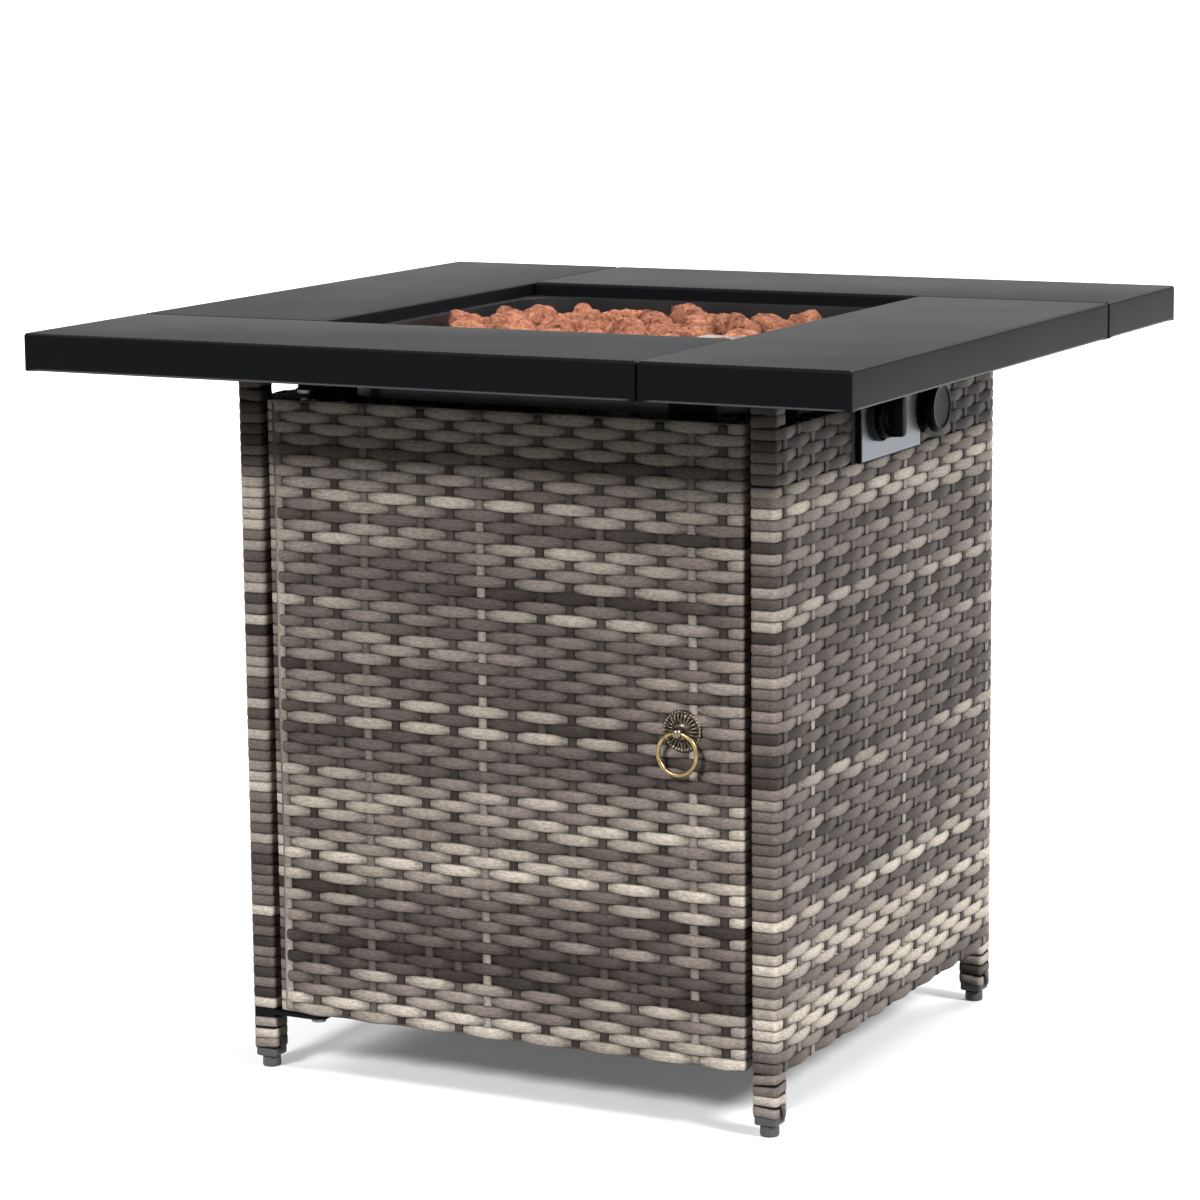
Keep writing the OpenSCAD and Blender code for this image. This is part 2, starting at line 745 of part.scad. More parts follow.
// hollow ring burner with a cross tube, a hub and a threaded stub
module burner_ring() {
    wall = 1;
    color("#b9bcc0") difference() {
        union() {
            translate([0, 0, burner_z]) rotate_extrude()
                translate([burner_r, 0]) circle(d = burner_d);
            rod_x(12, -burner_r, burner_r, 0, burner_z);
            rod_z(28, floor_z, burner_z + burner_d / 2, 0, 0);
            rod_z(stub_d, stub_z0, floor_z + eps, 0, 0);
        }
        translate([0, 0, burner_z]) rotate_extrude()
            translate([burner_r, 0]) circle(d = burner_d - 2 * wall);
        rod_x(10, -burner_r, burner_r, 0, burner_z);
        rod_z(10, stub_z0 - 1, burner_z, 0, 0);
        for (k = [0 : ports - 1])
            rotate([0, 0, 360 * (k + 0.5) / ports])
                rod_z(2, burner_z + burner_d / 2 - 3, burner_z + burner_d, burner_r, 0);
    }
}
module burner_nut() {
    color("#9a9da1") difference() {
        hex_z(26, pan_z0 - 8, pan_z0);
        rod_z(stub_d + 2 * run_fit, pan_z0 - 9, pan_z0 + 1, 0, 0);
    }
}

// mixing tube under the pan with two air windows
module air_mixer() {
    color("#8f9296") difference() {
        rod_z(mixer_d, mixer_z0, mixer_z1, 0, 0);
        rod_z(stub_d + 2 * run_fit, stub_z0, mixer_z1 + 1, 0, 0);
        rod_z(mixer_d - 5, mixer_z0 + 6, stub_z0 - 3, 0, 0);
        rod_z(12, stub_z0 - 4, stub_z0 + 1, 0, 0);
        rod_z(8 + 2 * run_fit, mixer_z0 - 1, mixer_z0 + 7, 0, 0);
        block(-6, 6, -mixer_d, mixer_d, mixer_z0 + 12, mixer_z0 + 26);
    }
}

// the plane of the feed pipe: from the burner axis to the valve outlet
pipe_run = sqrt(valve_out_x * valve_out_x + knob_y * knob_y);
pipe_turn = atan2(knob_y, valve_out_x);
module gas_orifice() {
    color("#b08d4a") rotate([0, 0, pipe_turn]) difference() {
        union() {
            hex_z(14, orifice_z0, mixer_z0);
            rod_z(8, mixer_z0 - eps, mixer_z0 + 14, 0, 0);
            rod_x(11, 0, 14, 0, orifice_y);
        }
        rod_z(1.6, orifice_y, mixer_z0 + 15, 0, 0);
        rod_x(4, 0, 15, 0, orifice_y);
    }
}
valve_out_z = knob_z - valve_d / 2 - 12;
module feed_pipe() {
    x1 = pipe_run - pipe_bend;
    wall = 1;
    color("#b5b7ba") rotate([0, 0, pipe_turn]) {
        difference() {
            rod_x(pipe_d, 14, x1, 0, pipe_z);
            rod_x(pipe_d - 2 * wall, 13, x1 + 1, 0, pipe_z);
        }
        translate([x1, 0, pipe_z + pipe_bend]) rotate([90, 0, 0])
            rotate([0, 0, -90]) rotate_extrude(angle = 90) translate([pipe_bend, 0])
                difference() {
                    circle(d = pipe_d);
                    circle(d = pipe_d - 2 * wall);
                }
        difference() {
            rod_z(pipe_d, pipe_z + pipe_bend, valve_out_z, pipe_run, 0);
            rod_z(pipe_d - 2 * wall, pipe_z + pipe_bend - 1, valve_out_z + 1, pipe_run, 0);
        }
    }
}

// gas valve behind the control box, inlet towards -Y, outlet down
module valve_screw_bores(d, x0, x1) {
    for (t = [-1, 1]) rod_x(d, x0, x1, knob_y + t * 17, knob_z);
}
// the inlet thread ends at a collar clear of the round valve body
inlet_x = valve_out_x + 2;
inlet_y1 = knob_y - valve_d / 2 - 2;
collar_w = inlet_d + 4;
module gas_valve() {
    color("#a8a9ab") difference() {
        union() {
            rod_x(valve_d, valve_x0, box_x0, knob_y, knob_z);
            block(box_x0 - 5, box_x0, knob_y - 22, knob_y + 22, knob_z - 9, knob_z + 9);
            rod_z(13, valve_out_z, knob_z, valve_out_x, knob_y);
            rod_y(collar_w, inlet_y1, knob_y, inlet_x, knob_z);
            rod_y(inlet_d, inlet_y1 - inlet_len, knob_y, inlet_x, knob_z);
        }
        rod_x(plug_d + 2 * run_fit, plug_x0, box_x0 + 1, knob_y, knob_z);
        rod_z(5, valve_out_z - 1, knob_z, valve_out_x, knob_y);
        rod_y(7, inlet_y1 - inlet_len - 1, knob_y, inlet_x, knob_z);
        valve_screw_bores(4, box_x0 - 6, box_x0 + 1);
    }
}
module valve_screws() {
    color("#3a3b3e") {
        valve_screw_bores(4, box_x0 - 5, box_x1);
        valve_screw_bores(7, box_x0 - 7, box_x0 - 5);
    }
}
module valve_plug() {
    color("#b08d4a") difference() {
        rod_x(plug_d, plug_x0, plug_x0 + plug_len, knob_y, knob_z);
        rod_x(spindle_d + 2 * run_fit, plug_x0 + 3, plug_x0 + plug_len + 1, knob_y, knob_z);
    }
}
spindle_x0 = plug_x0 + 3 + knob_push + 1;
module valve_spindle() {
    color("#b9bcc0")
        rod_x(spindle_d, spindle_x0, knob_x0 + knob_len - 5, knob_y, knob_z);
}

// knob with a finger bar, and the bezel cup behind it
module control_knob() {
    base = 6;
    color("#141517") difference() {
        union() {
            rod_x(knob_d, knob_x0, knob_x0 + base, knob_y, knob_z);
            intersection() {
                rod_x(knob_d - 3, knob_x0, knob_x0 + knob_len, knob_y, knob_z);
                block(knob_x0, knob_x0 + knob_len, knob_y - 6.5, knob_y + 6.5,
                    knob_z - knob_d, knob_z + knob_d);
            }
            rod_x(22, knob_x0, knob_x0 + knob_len - 4, knob_y, knob_z);
        }
        rod_x(spindle_d, knob_x0 - 1, knob_x0 + knob_len - 5, knob_y, knob_z);
    }
}
module knob_bezel() {
    color("#55575b") difference() {
        rod_x(bezel_d, label_x, label_x + bezel_h, knob_y, knob_z);
        rod_x(knob_d + 2, label_x + bezel_floor, label_x + bezel_h + 1, knob_y, knob_z);
        rod_x(12, label_x - 1, label_x + bezel_h + 1, knob_y, knob_z);
    }
}

// folded control box on the lowered rail
box_screw_x = rail_x0 + rail_w / 2;
box_screw_ys = [label_y - 40, label_y + 40];
module control_box() {
    color("#17181a") difference() {
        union() {
            block(box_x0, box_x1, box_y0, box_y1, box_z0, box_z1);
            block(box_x0, box_x1, box_y0, ear_y1, ear_z0, box_z1);
            block(rail_x0, box_x1, box_y0, box_y1, box_z0, box_z0 + 1.5);
            block(rail_x0, box_x1, box_y0, box_y0 + 1.5, box_z0, box_z1);
            block(rail_x0, box_x1, box_y0, ear_y1, box_z1 - 1.5, box_z1);
        }
        rod_x(12, box_x0 - 1, box_x1 + 1, knob_y, knob_z);
        rod_x(ign_barrel_d, box_x0 - 1, box_x1 + 1, ign_y, ign_z);
        valve_screw_bores(4, box_x0 - 1, box_x1 + 1);
        for (y = box_screw_ys) rod_z(4, box_z0 - 1, box_z0 + 3, box_screw_x, y);
    }
}
module box_screws() {
    color("#3a3b3e")
        for (y = box_screw_ys) {
            rod_z(4, mid_z1 - 8, box_z0 + 1.5 + eps, box_screw_x, y);
            rod_z(8, box_z0 + 1.5, box_z0 + 4, box_screw_x, y);
        }
}
module label_plate() {
    color("#b4b8bd") difference() {
        block(box_x1, label_x, label_y0, label_y1, box_z0 + 1, box_z1 - 1);
        rod_x(12, box_x1 - 1, label_x + 1, knob_y, knob_z);
        rod_x(ign_flange + 2 * free_fit, box_x1 - 1, label_x + 1, ign_y, ign_z);
    }
}

// push igniter: flanged barrel, lock nut and a sprung cap
ign_boss = 3;
ign_flange_h = 4;
cap_x0 = box_x1 + ign_flange_h + igniter_push + free_fit;
cap_len = 7;
module igniter_body() {
    x1 = box_x1 + ign_flange_h;
    color("#1a1b1d") difference() {
        union() {
            rod_x(ign_flange, box_x1, x1, ign_y, ign_z);
            rod_x(30, x1 - eps, x1 + ign_boss, ign_y, ign_z);
            rod_x(ign_barrel_d, ign_barrel_x0, box_x1 + eps, ign_y, ign_z);
            rod_z(6, ign_z - ign_barrel_d / 2 - 6, ign_z, ign_term_x, ign_y);
        }
        rod_x(10 + 2 * run_fit, x1 - 24, x1 + ign_boss + 1, ign_y, ign_z);
    }
}
module igniter_nut() {
    color("#2c2d30") translate([box_x0 - 6, ign_y, ign_z]) rotate([0, 90, 0]) difference() {
        hex_z(32, 0, 6);
        rod_z(ign_barrel_d + 2 * run_fit, -1, 7, 0, 0);
    }
}
module igniter_button() {
    color("#0f1012") difference() {
        union() {
            rod_x(igniter_d, cap_x0, cap_x0 + cap_len, ign_y, ign_z);
            rod_x(10, cap_x0 - 18, cap_x0 + 4, ign_y, ign_z);
        }
        difference() {
            rod_x(31.2, cap_x0 - 1, cap_x0 + ign_boss + 0.5, ign_y, ign_z);
            rod_x(10, cap_x0 - 2, cap_x0 + 5, ign_y, ign_z);
        }
    }
}

// spark electrode through the pan floor, its shield and its lead
spark_d = 6;
module electrode() {
    color("#e6e3da") {
        rod_z(spark_d, spark_z0, floor_z + 24, spark_x, spark_y);
        rod_z(2, floor_z + 24 - eps, floor_z + 36, spark_x, spark_y);
    }
}
module electrode_shield() {
    x0 = spark_x - 16;
    y0 = spark_y - shield_y / 2;
    color("#c4c7ca") difference() {
        block(x0, x0 + shield_x, y0, y0 + shield_y, floor_z, shield_top);
        block(x0 + 1, x0 + shield_x - 1, y0 + 1, y0 + shield_y - 1,
            floor_z - 1, shield_top - 1);
        block(x0 - 1, x0 + 2, y0 + 8, y0 + shield_y - 8, floor_z + 14, shield_top - 8);
    }
}
lead_dx = ign_term_x - spark_x;
lead_dy = ign_y - spark_y;
lead_run = sqrt(lead_dx * lead_dx + lead_dy * lead_dy);
lead_end = ign_z - ign_barrel_d / 2 - 6;
module lead_bend_part() {
    rotate([90, 0, 0]) rotate([0, 0, -90]) rotate_extrude(angle = 90)
        translate([lead_bend, 0]) circle(d = lead_d);
}
module ignition_lead() {
    zc = lead_z + lead_bend;
    color("#2a1512") translate([spark_x, spark_y, 0])
        rotate([0, 0, atan2(lead_dy, lead_dx)]) {
            rod_z(lead_d, zc, spark_z0, 0, 0);
            translate([lead_bend, 0, zc]) mirror([1, 0, 0]) lead_bend_part();
            rod_x(lead_d, lead_bend, lead_run - lead_bend, 0, lead_z);
            translate([lead_run - lead_bend, 0, zc]) lead_bend_part();
            rod_z(lead_d, zc, lead_end, lead_run, 0);
        }
}

// lava rocks: uneven twenty-sided lumps in two layers, each in its own cell
ico = (1 + sqrt(5)) / 2;
ico_n = sqrt(1 + ico * ico);
ico_p = [[-1, ico, 0], [1, ico, 0], [-1, -ico, 0], [1, -ico, 0], [0, -1, ico], [0, 1, ico],
    [0, -1, -ico], [0, 1, -ico], [ico, 0, -1], [ico, 0, 1], [-ico, 0, -1], [-ico, 0, 1]];
ico_f = [[11, 0, 5], [5, 0, 1], [1, 0, 7], [7, 0, 10], [10, 0, 11], [5, 1, 9], [11, 5, 4],
    [10, 11, 2], [7, 10, 6], [1, 7, 8], [9, 3, 4], [4, 3, 2], [2, 3, 6], [6, 3, 8],
    [8, 3, 9], [9, 4, 5], [4, 2, 11], [2, 6, 10], [6, 8, 7], [8, 9, 1]];
// a lump stands on its two lowest points at z0 and leans on its row neighbours
module rock(i, x, y, z0, rz) {
    k = rands(0.76, 1, 12, 100 + i);
    side = rock_pitch / 2 - rock_touch;
    r = side / ico_n;
    translate([x, y, z0 + rz]) polyhedron(
        points = [for (n = [0 : 11]) [
            abs(ico_p[n][0]) > 1.2 ? sign(ico_p[n][0]) * side : ico_p[n][0] * r * k[n],
            ico_p[n][1] * r * k[n],
            abs(ico_p[n][2]) > 1.2 ? sign(ico_p[n][2]) * rz : ico_p[n][2] * rz * k[n] / 2]],
        faces = [for (f = ico_f) [f[2], f[1], f[0]]]);
}
function clear_shield(x, y) = abs(x - spark_x - 2) > shield_x / 2 + rock_pitch / 2
    || abs(y - spark_y) > shield_y / 2 + rock_pitch / 2;
function clear_ring(x, y) = sqrt(x * x + y * y) > burner_r + burner_d / 2 + rock_pitch / 2;
rock_touch = 0.03;
rock_z2 = burner_z + burner_d / 2 + 0.1;
rock_low = (rock_z2 - floor_z) / 2 - 0.1;
rock_reach = pan_w / 2 - 27;
rock_n = floor(rock_reach / rock_pitch);
module lava_rocks() {
    color("#9a5a45")
        for (a = [-rock_n : rock_n], b = [-rock_n - 1 : rock_n + 1]) {
            x = (a + (abs(b) % 2) / 2) * rock_pitch;
            y = b * rock_pitch * sqrt(3) / 2;
            i = (a + rock_n) * 40 + b + 20;
            inside = abs(x) < rock_reach && abs(y) < rock_reach
                && x * x + y * y < 1.4 * rock_reach * rock_reach;
            if (inside && clear_shield(x, y)) {
                rock(i, x, y, rock_z2, rands(10.5, 14.5, 1, i)[0]);
                if (clear_ring(x, y)) rock(i + 900, x, y, floor_z, rock_low);
            }
        }
}

top_panel_front();
top_panel_right();
top_panel_back();
top_panel_left();
top_frame();
top_nuts();
post_screws();
side_frame_left();
side_frame_right();
weave_left();
weave_right();
back_frame();
weave_back();
frame_bolts();
foot_plugs();
foot_fl();
foot_fr();
foot_bl();
foot_br();
door_frame();
weave_door();
hinge_bracket_bottom();
hinge_bracket_top();
hinge_pins();
hinge_washer();
hinge_screws();
pull_rosette();
pull_ring();
pull_nut();
catch_bracket();
catch_magnet();
catch_screws();
catch_strike();
burner_pan();
burner_ring();
burner_nut();
air_mixer();
gas_orifice();
feed_pipe();
gas_valve();
valve_plug();
valve_spindle();
valve_screws();
control_knob();
knob_bezel();
control_box();
box_screws();
label_plate();
igniter_body();
igniter_nut();
igniter_button();
electrode();
electrode_shield();
ignition_lead();
lava_rocks();
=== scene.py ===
# %% [markdown]
# # A gas fire pit table
# A square table with a folded steel top, a pan of lava rocks in its middle and a woven cabinet
# with a door below. The CAD solids arrive packed, each at its real place, and this lesson gives
# them their looks. Everything is in one frame: the floor is z = 0, the door faces -Y and the
# controls face +X. Lengths are written in millimetres and turned to metres in one place.

# %% Load the frame
import json

import bpy
import numpy as np
from mathutils import Matrix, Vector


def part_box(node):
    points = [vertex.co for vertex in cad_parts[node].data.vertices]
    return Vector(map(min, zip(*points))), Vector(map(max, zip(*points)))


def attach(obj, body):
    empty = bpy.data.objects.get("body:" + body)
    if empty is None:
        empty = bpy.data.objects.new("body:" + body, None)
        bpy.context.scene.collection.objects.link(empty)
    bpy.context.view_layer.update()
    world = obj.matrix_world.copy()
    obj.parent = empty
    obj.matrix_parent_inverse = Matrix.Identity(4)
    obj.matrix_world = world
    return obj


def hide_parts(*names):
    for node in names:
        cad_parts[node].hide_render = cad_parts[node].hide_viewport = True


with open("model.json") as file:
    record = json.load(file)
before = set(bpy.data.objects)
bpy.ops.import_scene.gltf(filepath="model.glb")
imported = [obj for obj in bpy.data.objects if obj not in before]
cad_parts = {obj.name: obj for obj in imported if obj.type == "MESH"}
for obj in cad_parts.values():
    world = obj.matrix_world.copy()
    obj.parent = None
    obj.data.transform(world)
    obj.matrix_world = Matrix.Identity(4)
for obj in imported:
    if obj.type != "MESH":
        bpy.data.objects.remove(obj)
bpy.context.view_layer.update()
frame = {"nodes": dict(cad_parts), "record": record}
MM = 0.001
FINISH = {}
COLOUR = {"out": 2, "data_type": "RGBA"}


def box_mm(node):
    """Lowest and highest corner of a CAD node, in millimetres."""
    lo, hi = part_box(node)
    return np.array(lo) / MM, np.array(hi) / MM


# %% [markdown]
# ## Nodes and colours
# A material is a small graph. One helper adds a node, another sets its inputs, where an input may be
# a plain value or another node's output. Colours are written as sRGB hex, as a colour picker shows
# them, and turned to the linear values that the shader wants. Patterns read Object coordinates,
# which are metres here, so a pattern's scale is one over its size. Some inputs only have numbers: a
# mix of colours has its share at 0 and the two colours at 6 and 7, and a map of ranges takes 0 from
# the range 1 to 2 into the range 3 to 4.


# %% Material helpers
def srgb(code):
    """sRGB hex to linear: c / 12.92 below 0.04045, else ((c + 0.055) / 1.055) ** 2.4."""
    c = np.array([int(code[i : i + 2], 16) for i in (1, 3, 5)]) / 255
    return (*np.where(c < 0.04045, c / 12.92, ((c + 0.055) / 1.055) ** 2.4), 1.0)


def per_mm(size):
    """Texture scale of a pattern whose features are size millimetres apart."""
    return 1 / (size * MM)


def feed(tree, node, inputs):
    """Sets each input of a node to a value, or links it from another node's output."""
    for key, value in inputs.items():
        if isinstance(value, bpy.types.NodeSocket):
            tree.links.new(value, node.inputs[key])
        else:
            node.inputs[key].default_value = value


def add(tree, kind, inputs=None, out=0, **settings):
    """Adds one shader node with its settings and inputs, and returns one of its outputs."""
    node = tree.nodes.new("ShaderNode" + kind)
    for key, value in settings.items():
        setattr(node, key, value)
    feed(tree, node, inputs or {})
    return node.outputs[out]


def new_finish(slot, name, inputs):
    """A material with one Principled shader; returns its graph, shader and Object coordinates."""
    material = bpy.data.materials.new(name)
    material.use_nodes = True
    tree = material.node_tree
    shader = tree.nodes["Principled BSDF"]
    feed(tree, shader, inputs)
    FINISH[slot] = material
    return tree, shader, add(tree, "TexCoord", out="Object")


# %% [markdown]
# ## Plain finishes
# Most small pieces are painted, plated or moulded. Each finish here is two near colours mixed by
# cloudy noise, a roughness that drifts with the same noise, and a fine grit in the bump. The table
# says what each real material is; its numbers are the only thing that differs.

# %% Plain finishes
# slot: name, main colour, second colour, cloud mm, metallic, roughness, drift, grit mm, grit height mm
PLAIN = {
    # welded tube under black powder paint: dull, with a fine orange peel
    "frame_steel": ("powder_painted_tube", "#131416", "#1d1e20", 18, 0, 0.48, 0.10, 1.2, 0.05),
    # zinc-plated nuts, pins and strike: dull grey, a little uneven
    "fastener": ("zinc_plated_steel", "#77797b", "#626466", 5, 1, 0.48, 0.12, 0.6, 0.01),
    # blackened screws: dark and slightly shiny
    "black_fastener": ("black_oxide_steel", "#2c2d2f", "#3b3c3e", 4, 0.6, 0.40, 0.12, 0.5, 0.01),
    # moulded charcoal feet: matt, with the fine texture of the mould
    "foot_plastic": ("moulded_nylon_charcoal", "#3b3c3f", "#48494c", 7, 0, 0.55, 0.10, 0.7, 0.04),
    # natural nylon washer
    "nylon": ("natural_nylon", "#d9d8d2", "#c9c7bf", 4, 0, 0.45, 0.08, 0.6, 0.02),
    # glossy black mouldings of the bezel and knob
    "black_plastic": ("moulded_abs_black", "#0d0e10", "#141518", 9, 0, 0.32, 0.10, 0.8, 0.012),
    # dark grey moulding behind the knob
    "grey_plastic": ("moulded_abs_grey", "#34363a", "#3d3f43", 9, 0, 0.36, 0.10, 0.8, 0.012),
    # high-heat paint inside the pan: satin black
    "pan_steel": ("high_heat_paint_black", "#1a1b1d", "#232426", 22, 0, 0.30, 0.08, 1.5, 0.02),
    # stainless burner and shield: bright, with a warm haze from heat
    "stainless": ("stainless_steel", "#c4c4c2", "#a89f94", 12, 1, 0.26, 0.12, 0.8, 0.008),
    # machined brass of the valve plug
    "brass": ("machined_brass", "#b8935a", "#a07c46", 6, 1, 0.30, 0.10, 0.6, 0.008),
    # die-cast valve body: pale grey with a cast skin
    "aluminium": ("die_cast_aluminium", "#a6a8aa", "#8f9194", 5, 1, 0.48, 0.10, 0.8, 0.03),
    # glossy black igniter
    "igniter_plastic": ("moulded_abs_gloss", "#08090a", "#0e0f11", 9, 0, 0.20, 0.06, 0.9, 0.008),
    # glazed electrode
    "ceramic": ("glazed_ceramic", "#e3dfd4", "#d3ccbd", 4, 0, 0.25, 0.06, 0.6, 0.01),
    # high-tension lead with a dull rubber skin
    "lead_rubber": ("silicone_rubber_dark_red", "#2b1513", "#35201c", 5, 0, 0.58, 0.08, 0.6, 0.02),
}
# the control mouldings and the tubes sit in the shade of the top and show little of the room
SHADED, SHADED_SPECULAR = ("black_plastic", "grey_plastic", "igniter_plastic", "frame_steel"), 0.03
for slot, (name, main, second, cloud, metallic, rough, drift, grit, height) in PLAIN.items():
    tree, shader, place = new_finish(slot, name, {"Metallic": metallic})
    if slot in SHADED:
        feed(tree, shader, {"Specular IOR Level": SHADED_SPECULAR})
    clouds = add(tree, "TexNoise", {"Vector": place, "Scale": per_mm(cloud), "Detail": 4.0})
    tint = add(tree, "Mix", {0: clouds, 6: srgb(main), 7: srgb(second)}, **COLOUR)
    gloss = add(tree, "MapRange", {0: clouds, 3: rough - drift / 2, 4: rough + drift / 2})
    grains = add(tree, "TexNoise", {"Vector": place, "Scale": per_mm(grit), "Detail": 2.0})
    bump = add(tree, "Bump", {"Height": grains, "Distance": height * MM, "Strength": 0.6})
    feed(tree, shader, {"Base Color": tint, "Roughness": gloss, "Normal": bump})
print("plain finishes:", len(PLAIN))

# %% [markdown]
# ## The table top's coat
# The top is sheet steel under satin black powder paint. Seen flat on it is nearly black; seen along
# the surface it mirrors the pale room softly, so most of its grey comes from the reflection. The
# paint reflects less than bare plastic would, hence the low specular level. A fine orange peel
# breaks the reflection up, and faint cloudy handling marks change its gloss. Along the rolled foot
# of the edge a fine pale line is painted into the colour as a highlight; an attribute on the panel marks it.

# %% Satin powder paint
tree, shader, place = new_finish("top_steel", "satin_powder_paint_black", {"Specular IOR Level": 0.05})
marks = add(tree, "TexNoise", {"Vector": place, "Scale": per_mm(90), "Detail": 4.0, "Roughness": 0.5})
coat = add(tree, "Mix", {0: marks, 6: srgb("#060709"), 7: srgb("#0a0b0e")}, **COLOUR)
# the pale grey mixed in along the rolled foot of the edge is a painted highlight
rub = add(tree, "Attribute", out="Fac", attribute_name="rub")
tint = add(tree, "Mix", {0: rub, 6: coat, 7: srgb("#6a6c70")}, **COLOUR)
gloss = add(tree, "MapRange", {0: marks, 1: 0.3, 2: 0.7, 3: 0.40, 4: 0.44})
peel = add(tree, "TexNoise", {"Vector": place, "Scale": per_mm(1.6), "Detail": 2.0})
bump = add(tree, "Bump", {"Height": peel, "Distance": 0.02 * MM, "Strength": 0.5})
feed(tree, shader, {"Base Color": tint, "Roughness": gloss, "Normal": bump})

# %% [markdown]
# ## Plastic rattan
# The strands are extruded polyethylene, coloured in the melt so that one strand drifts from pale
# straw grey to dark brown. Each mesh carries that drift as an attribute called tone, so the colour
# follows the strand round corners. A second attribute, shade, darkens the rolled edges and the parts
# that dive under a stake. On top there is a fine mottle and a drawn skin.

# %% Rattan
tree, shader, place = new_finish("rattan", "extruded_polyethylene_rattan", {"Specular IOR Level": 0.08})
tone = add(tree, "Attribute", out="Fac", attribute_name="tone")
low = add(tree, "MapRange", {0: tone, 1: 0.0, 2: 0.5})
high = add(tree, "MapRange", {0: tone, 1: 0.5, 2: 1.0})
dark = add(tree, "Mix", {0: low, 6: srgb("#39332f"), 7: srgb("#756b65")}, **COLOUR)
pale = add(tree, "Mix", {0: high, 6: dark, 7: srgb("#c2b8ab")}, **COLOUR)
drawn = add(tree, "Mapping", {"Vector": place, "Scale": (1.0, 1.0, 4.0)})
mottle = add(tree, "TexNoise", {"Vector": drawn, "Scale": per_mm(4), "Detail": 3.5, "Roughness": 0.72})
grain = add(tree, "MapRange", {0: mottle, 1: 0.40, 2: 0.60, 3: 0.84, 4: 1.38})
shade = add(tree, "Attribute", out="Fac", attribute_name="shade")
edge = add(tree, "MapRange", {0: shade, 3: 1.0, 4: 0.24})
value = add(tree, "Math", {0: grain, 1: edge}, operation="MULTIPLY")
tint = add(tree, "HueSaturation", {"Value": value, "Color": pale})
gloss = add(tree, "MapRange", {0: mottle, 1: 0.3, 2: 0.7, 3: 0.36, 4: 0.50})
bump = add(tree, "Bump", {"Height": mottle, "Distance": 0.2 * MM, "Strength": 0.6})
feed(tree, shader, {"Base Color": tint, "Roughness": gloss, "Normal": bump})

# %% [markdown]
# ## Lava rock
# Red scoria is a froth of gas bubbles set in dull stone. Voronoi cells make the bubbles: the middle
# of each cell is a dark pit, and a second noise says how large the pits are there, so some places are
# solid and others full of holes. There is no gloss at all.

# %% Scoria
tree, shader, place = new_finish("lava", "red_scoria", {"Roughness": 0.95, "Specular IOR Level": 0.1})
lumps = add(tree, "TexNoise", {"Vector": place, "Scale": per_mm(8), "Detail": 8.0, "Roughness": 0.78})
share = add(tree, "MapRange", {0: lumps, 1: 0.36, 2: 0.64})
stone = add(tree, "Mix", {0: share, 6: srgb("#6a3a2a"), 7: srgb("#c98a6d")}, **COLOUR)
cells = add(tree, "TexVoronoi", {"Vector": place, "Scale": per_mm(2.6)}, "Distance")
froth = add(tree, "TexNoise", {"Vector": place, "Scale": per_mm(5), "Detail": 3.0})
size = add(tree, "MapRange", {0: froth, 1: 0.4, 2: 0.7, 3: 0.02, 4: 0.45})
pits = add(tree, "Math", {0: cells, 1: size}, operation="GREATER_THAN")
holes = add(tree, "Mix", {0: pits, 6: srgb("#6b3a2f"), 7: stone}, **COLOUR)
tone = add(tree, "Attribute", out="Fac", attribute_name="tone")
shade = add(tree, "MapRange", {0: tone, 3: 0.62, 4: 1.04})
tint = add(tree, "HueSaturation", {"Value": shade, "Color": holes})
relief = add(tree, "Math", {0: pits, 1: lumps}, operation="ADD")
bump = add(tree, "Bump", {"Height": relief, "Distance": 2.4 * MM, "Strength": 0.8})
feed(tree, shader, {"Base Color": tint, "Normal": bump})

# %% [markdown]
# ## Brushed label, dark bronze and old brass
# The label is aluminium brushed along its length: noise stretched many times along Y makes the
# lines. The pull is cast and darkened, so its hollows stay brown while the high places were rubbed
# bright; height above the door tells the two apart. The ring is the same metal worn to brass.

# %% Bare metals
tree, shader, place = new_finish("label", "brushed_aluminium", {"Metallic": 1.0})
along = add(tree, "Mapping", {"Vector": place, "Scale": (1.0, 0.03, 1.0)})
lines = add(tree, "TexNoise", {"Vector": along, "Scale": per_mm(0.9), "Detail": 3.0})
tint = add(tree, "Mix", {0: lines, 6: srgb("#676b71"), 7: srgb("#888b90")}, **COLOUR)
gloss = add(tree, "MapRange", {0: lines, 3: 0.38, 4: 0.52})
feed(tree, shader, {"Base Color": tint, "Roughness": gloss})

for slot, name, hollow, rubbed, patch in (
    ("dark_bronze", "antiqued_bronze", "#15120f", "#736a5c", 2.5),
    ("antique_brass", "antiqued_brass", "#4b3e2c", "#a28a62", 6.0),
):
    tree, shader, place = new_finish(slot, name, {"Metallic": 1.0})
    spots = add(tree, "TexNoise", {"Vector": place, "Scale": per_mm(patch), "Detail": 5.0})
    wear = add(tree, "Attribute", out="Fac", attribute_name="wear")
    # in the bronze and brass this sum is the metal's own wear: noise plus the wear attribute
    rub = add(tree, "Math", {0: spots, 1: wear}, operation="ADD")
    share = add(tree, "MapRange", {0: rub, 1: 0.35, 2: 0.95})
    tint = add(tree, "Mix", {0: share, 6: srgb(hollow), 7: srgb(rubbed)}, **COLOUR)
    gloss = add(tree, "MapRange", {0: share, 3: 0.46, 4: 0.24})
    feed(tree, shader, {"Base Color": tint, "Roughness": gloss})

for part in frame["record"]["subparts"]:
    solid = frame["nodes"][part["node"]].data
    solid.materials.clear()
    solid.materials.append(FINISH[part["material_slot"]])

# %% [markdown]
# ## Meshes from arrays
# Every new piece is a grid of points: rows along a path, columns round a section. Numpy works the
# points out as one array, and the faces follow from the grid's size alone. If the enclosed volume
# comes out negative the faces are turned over, so that they always point outwards.


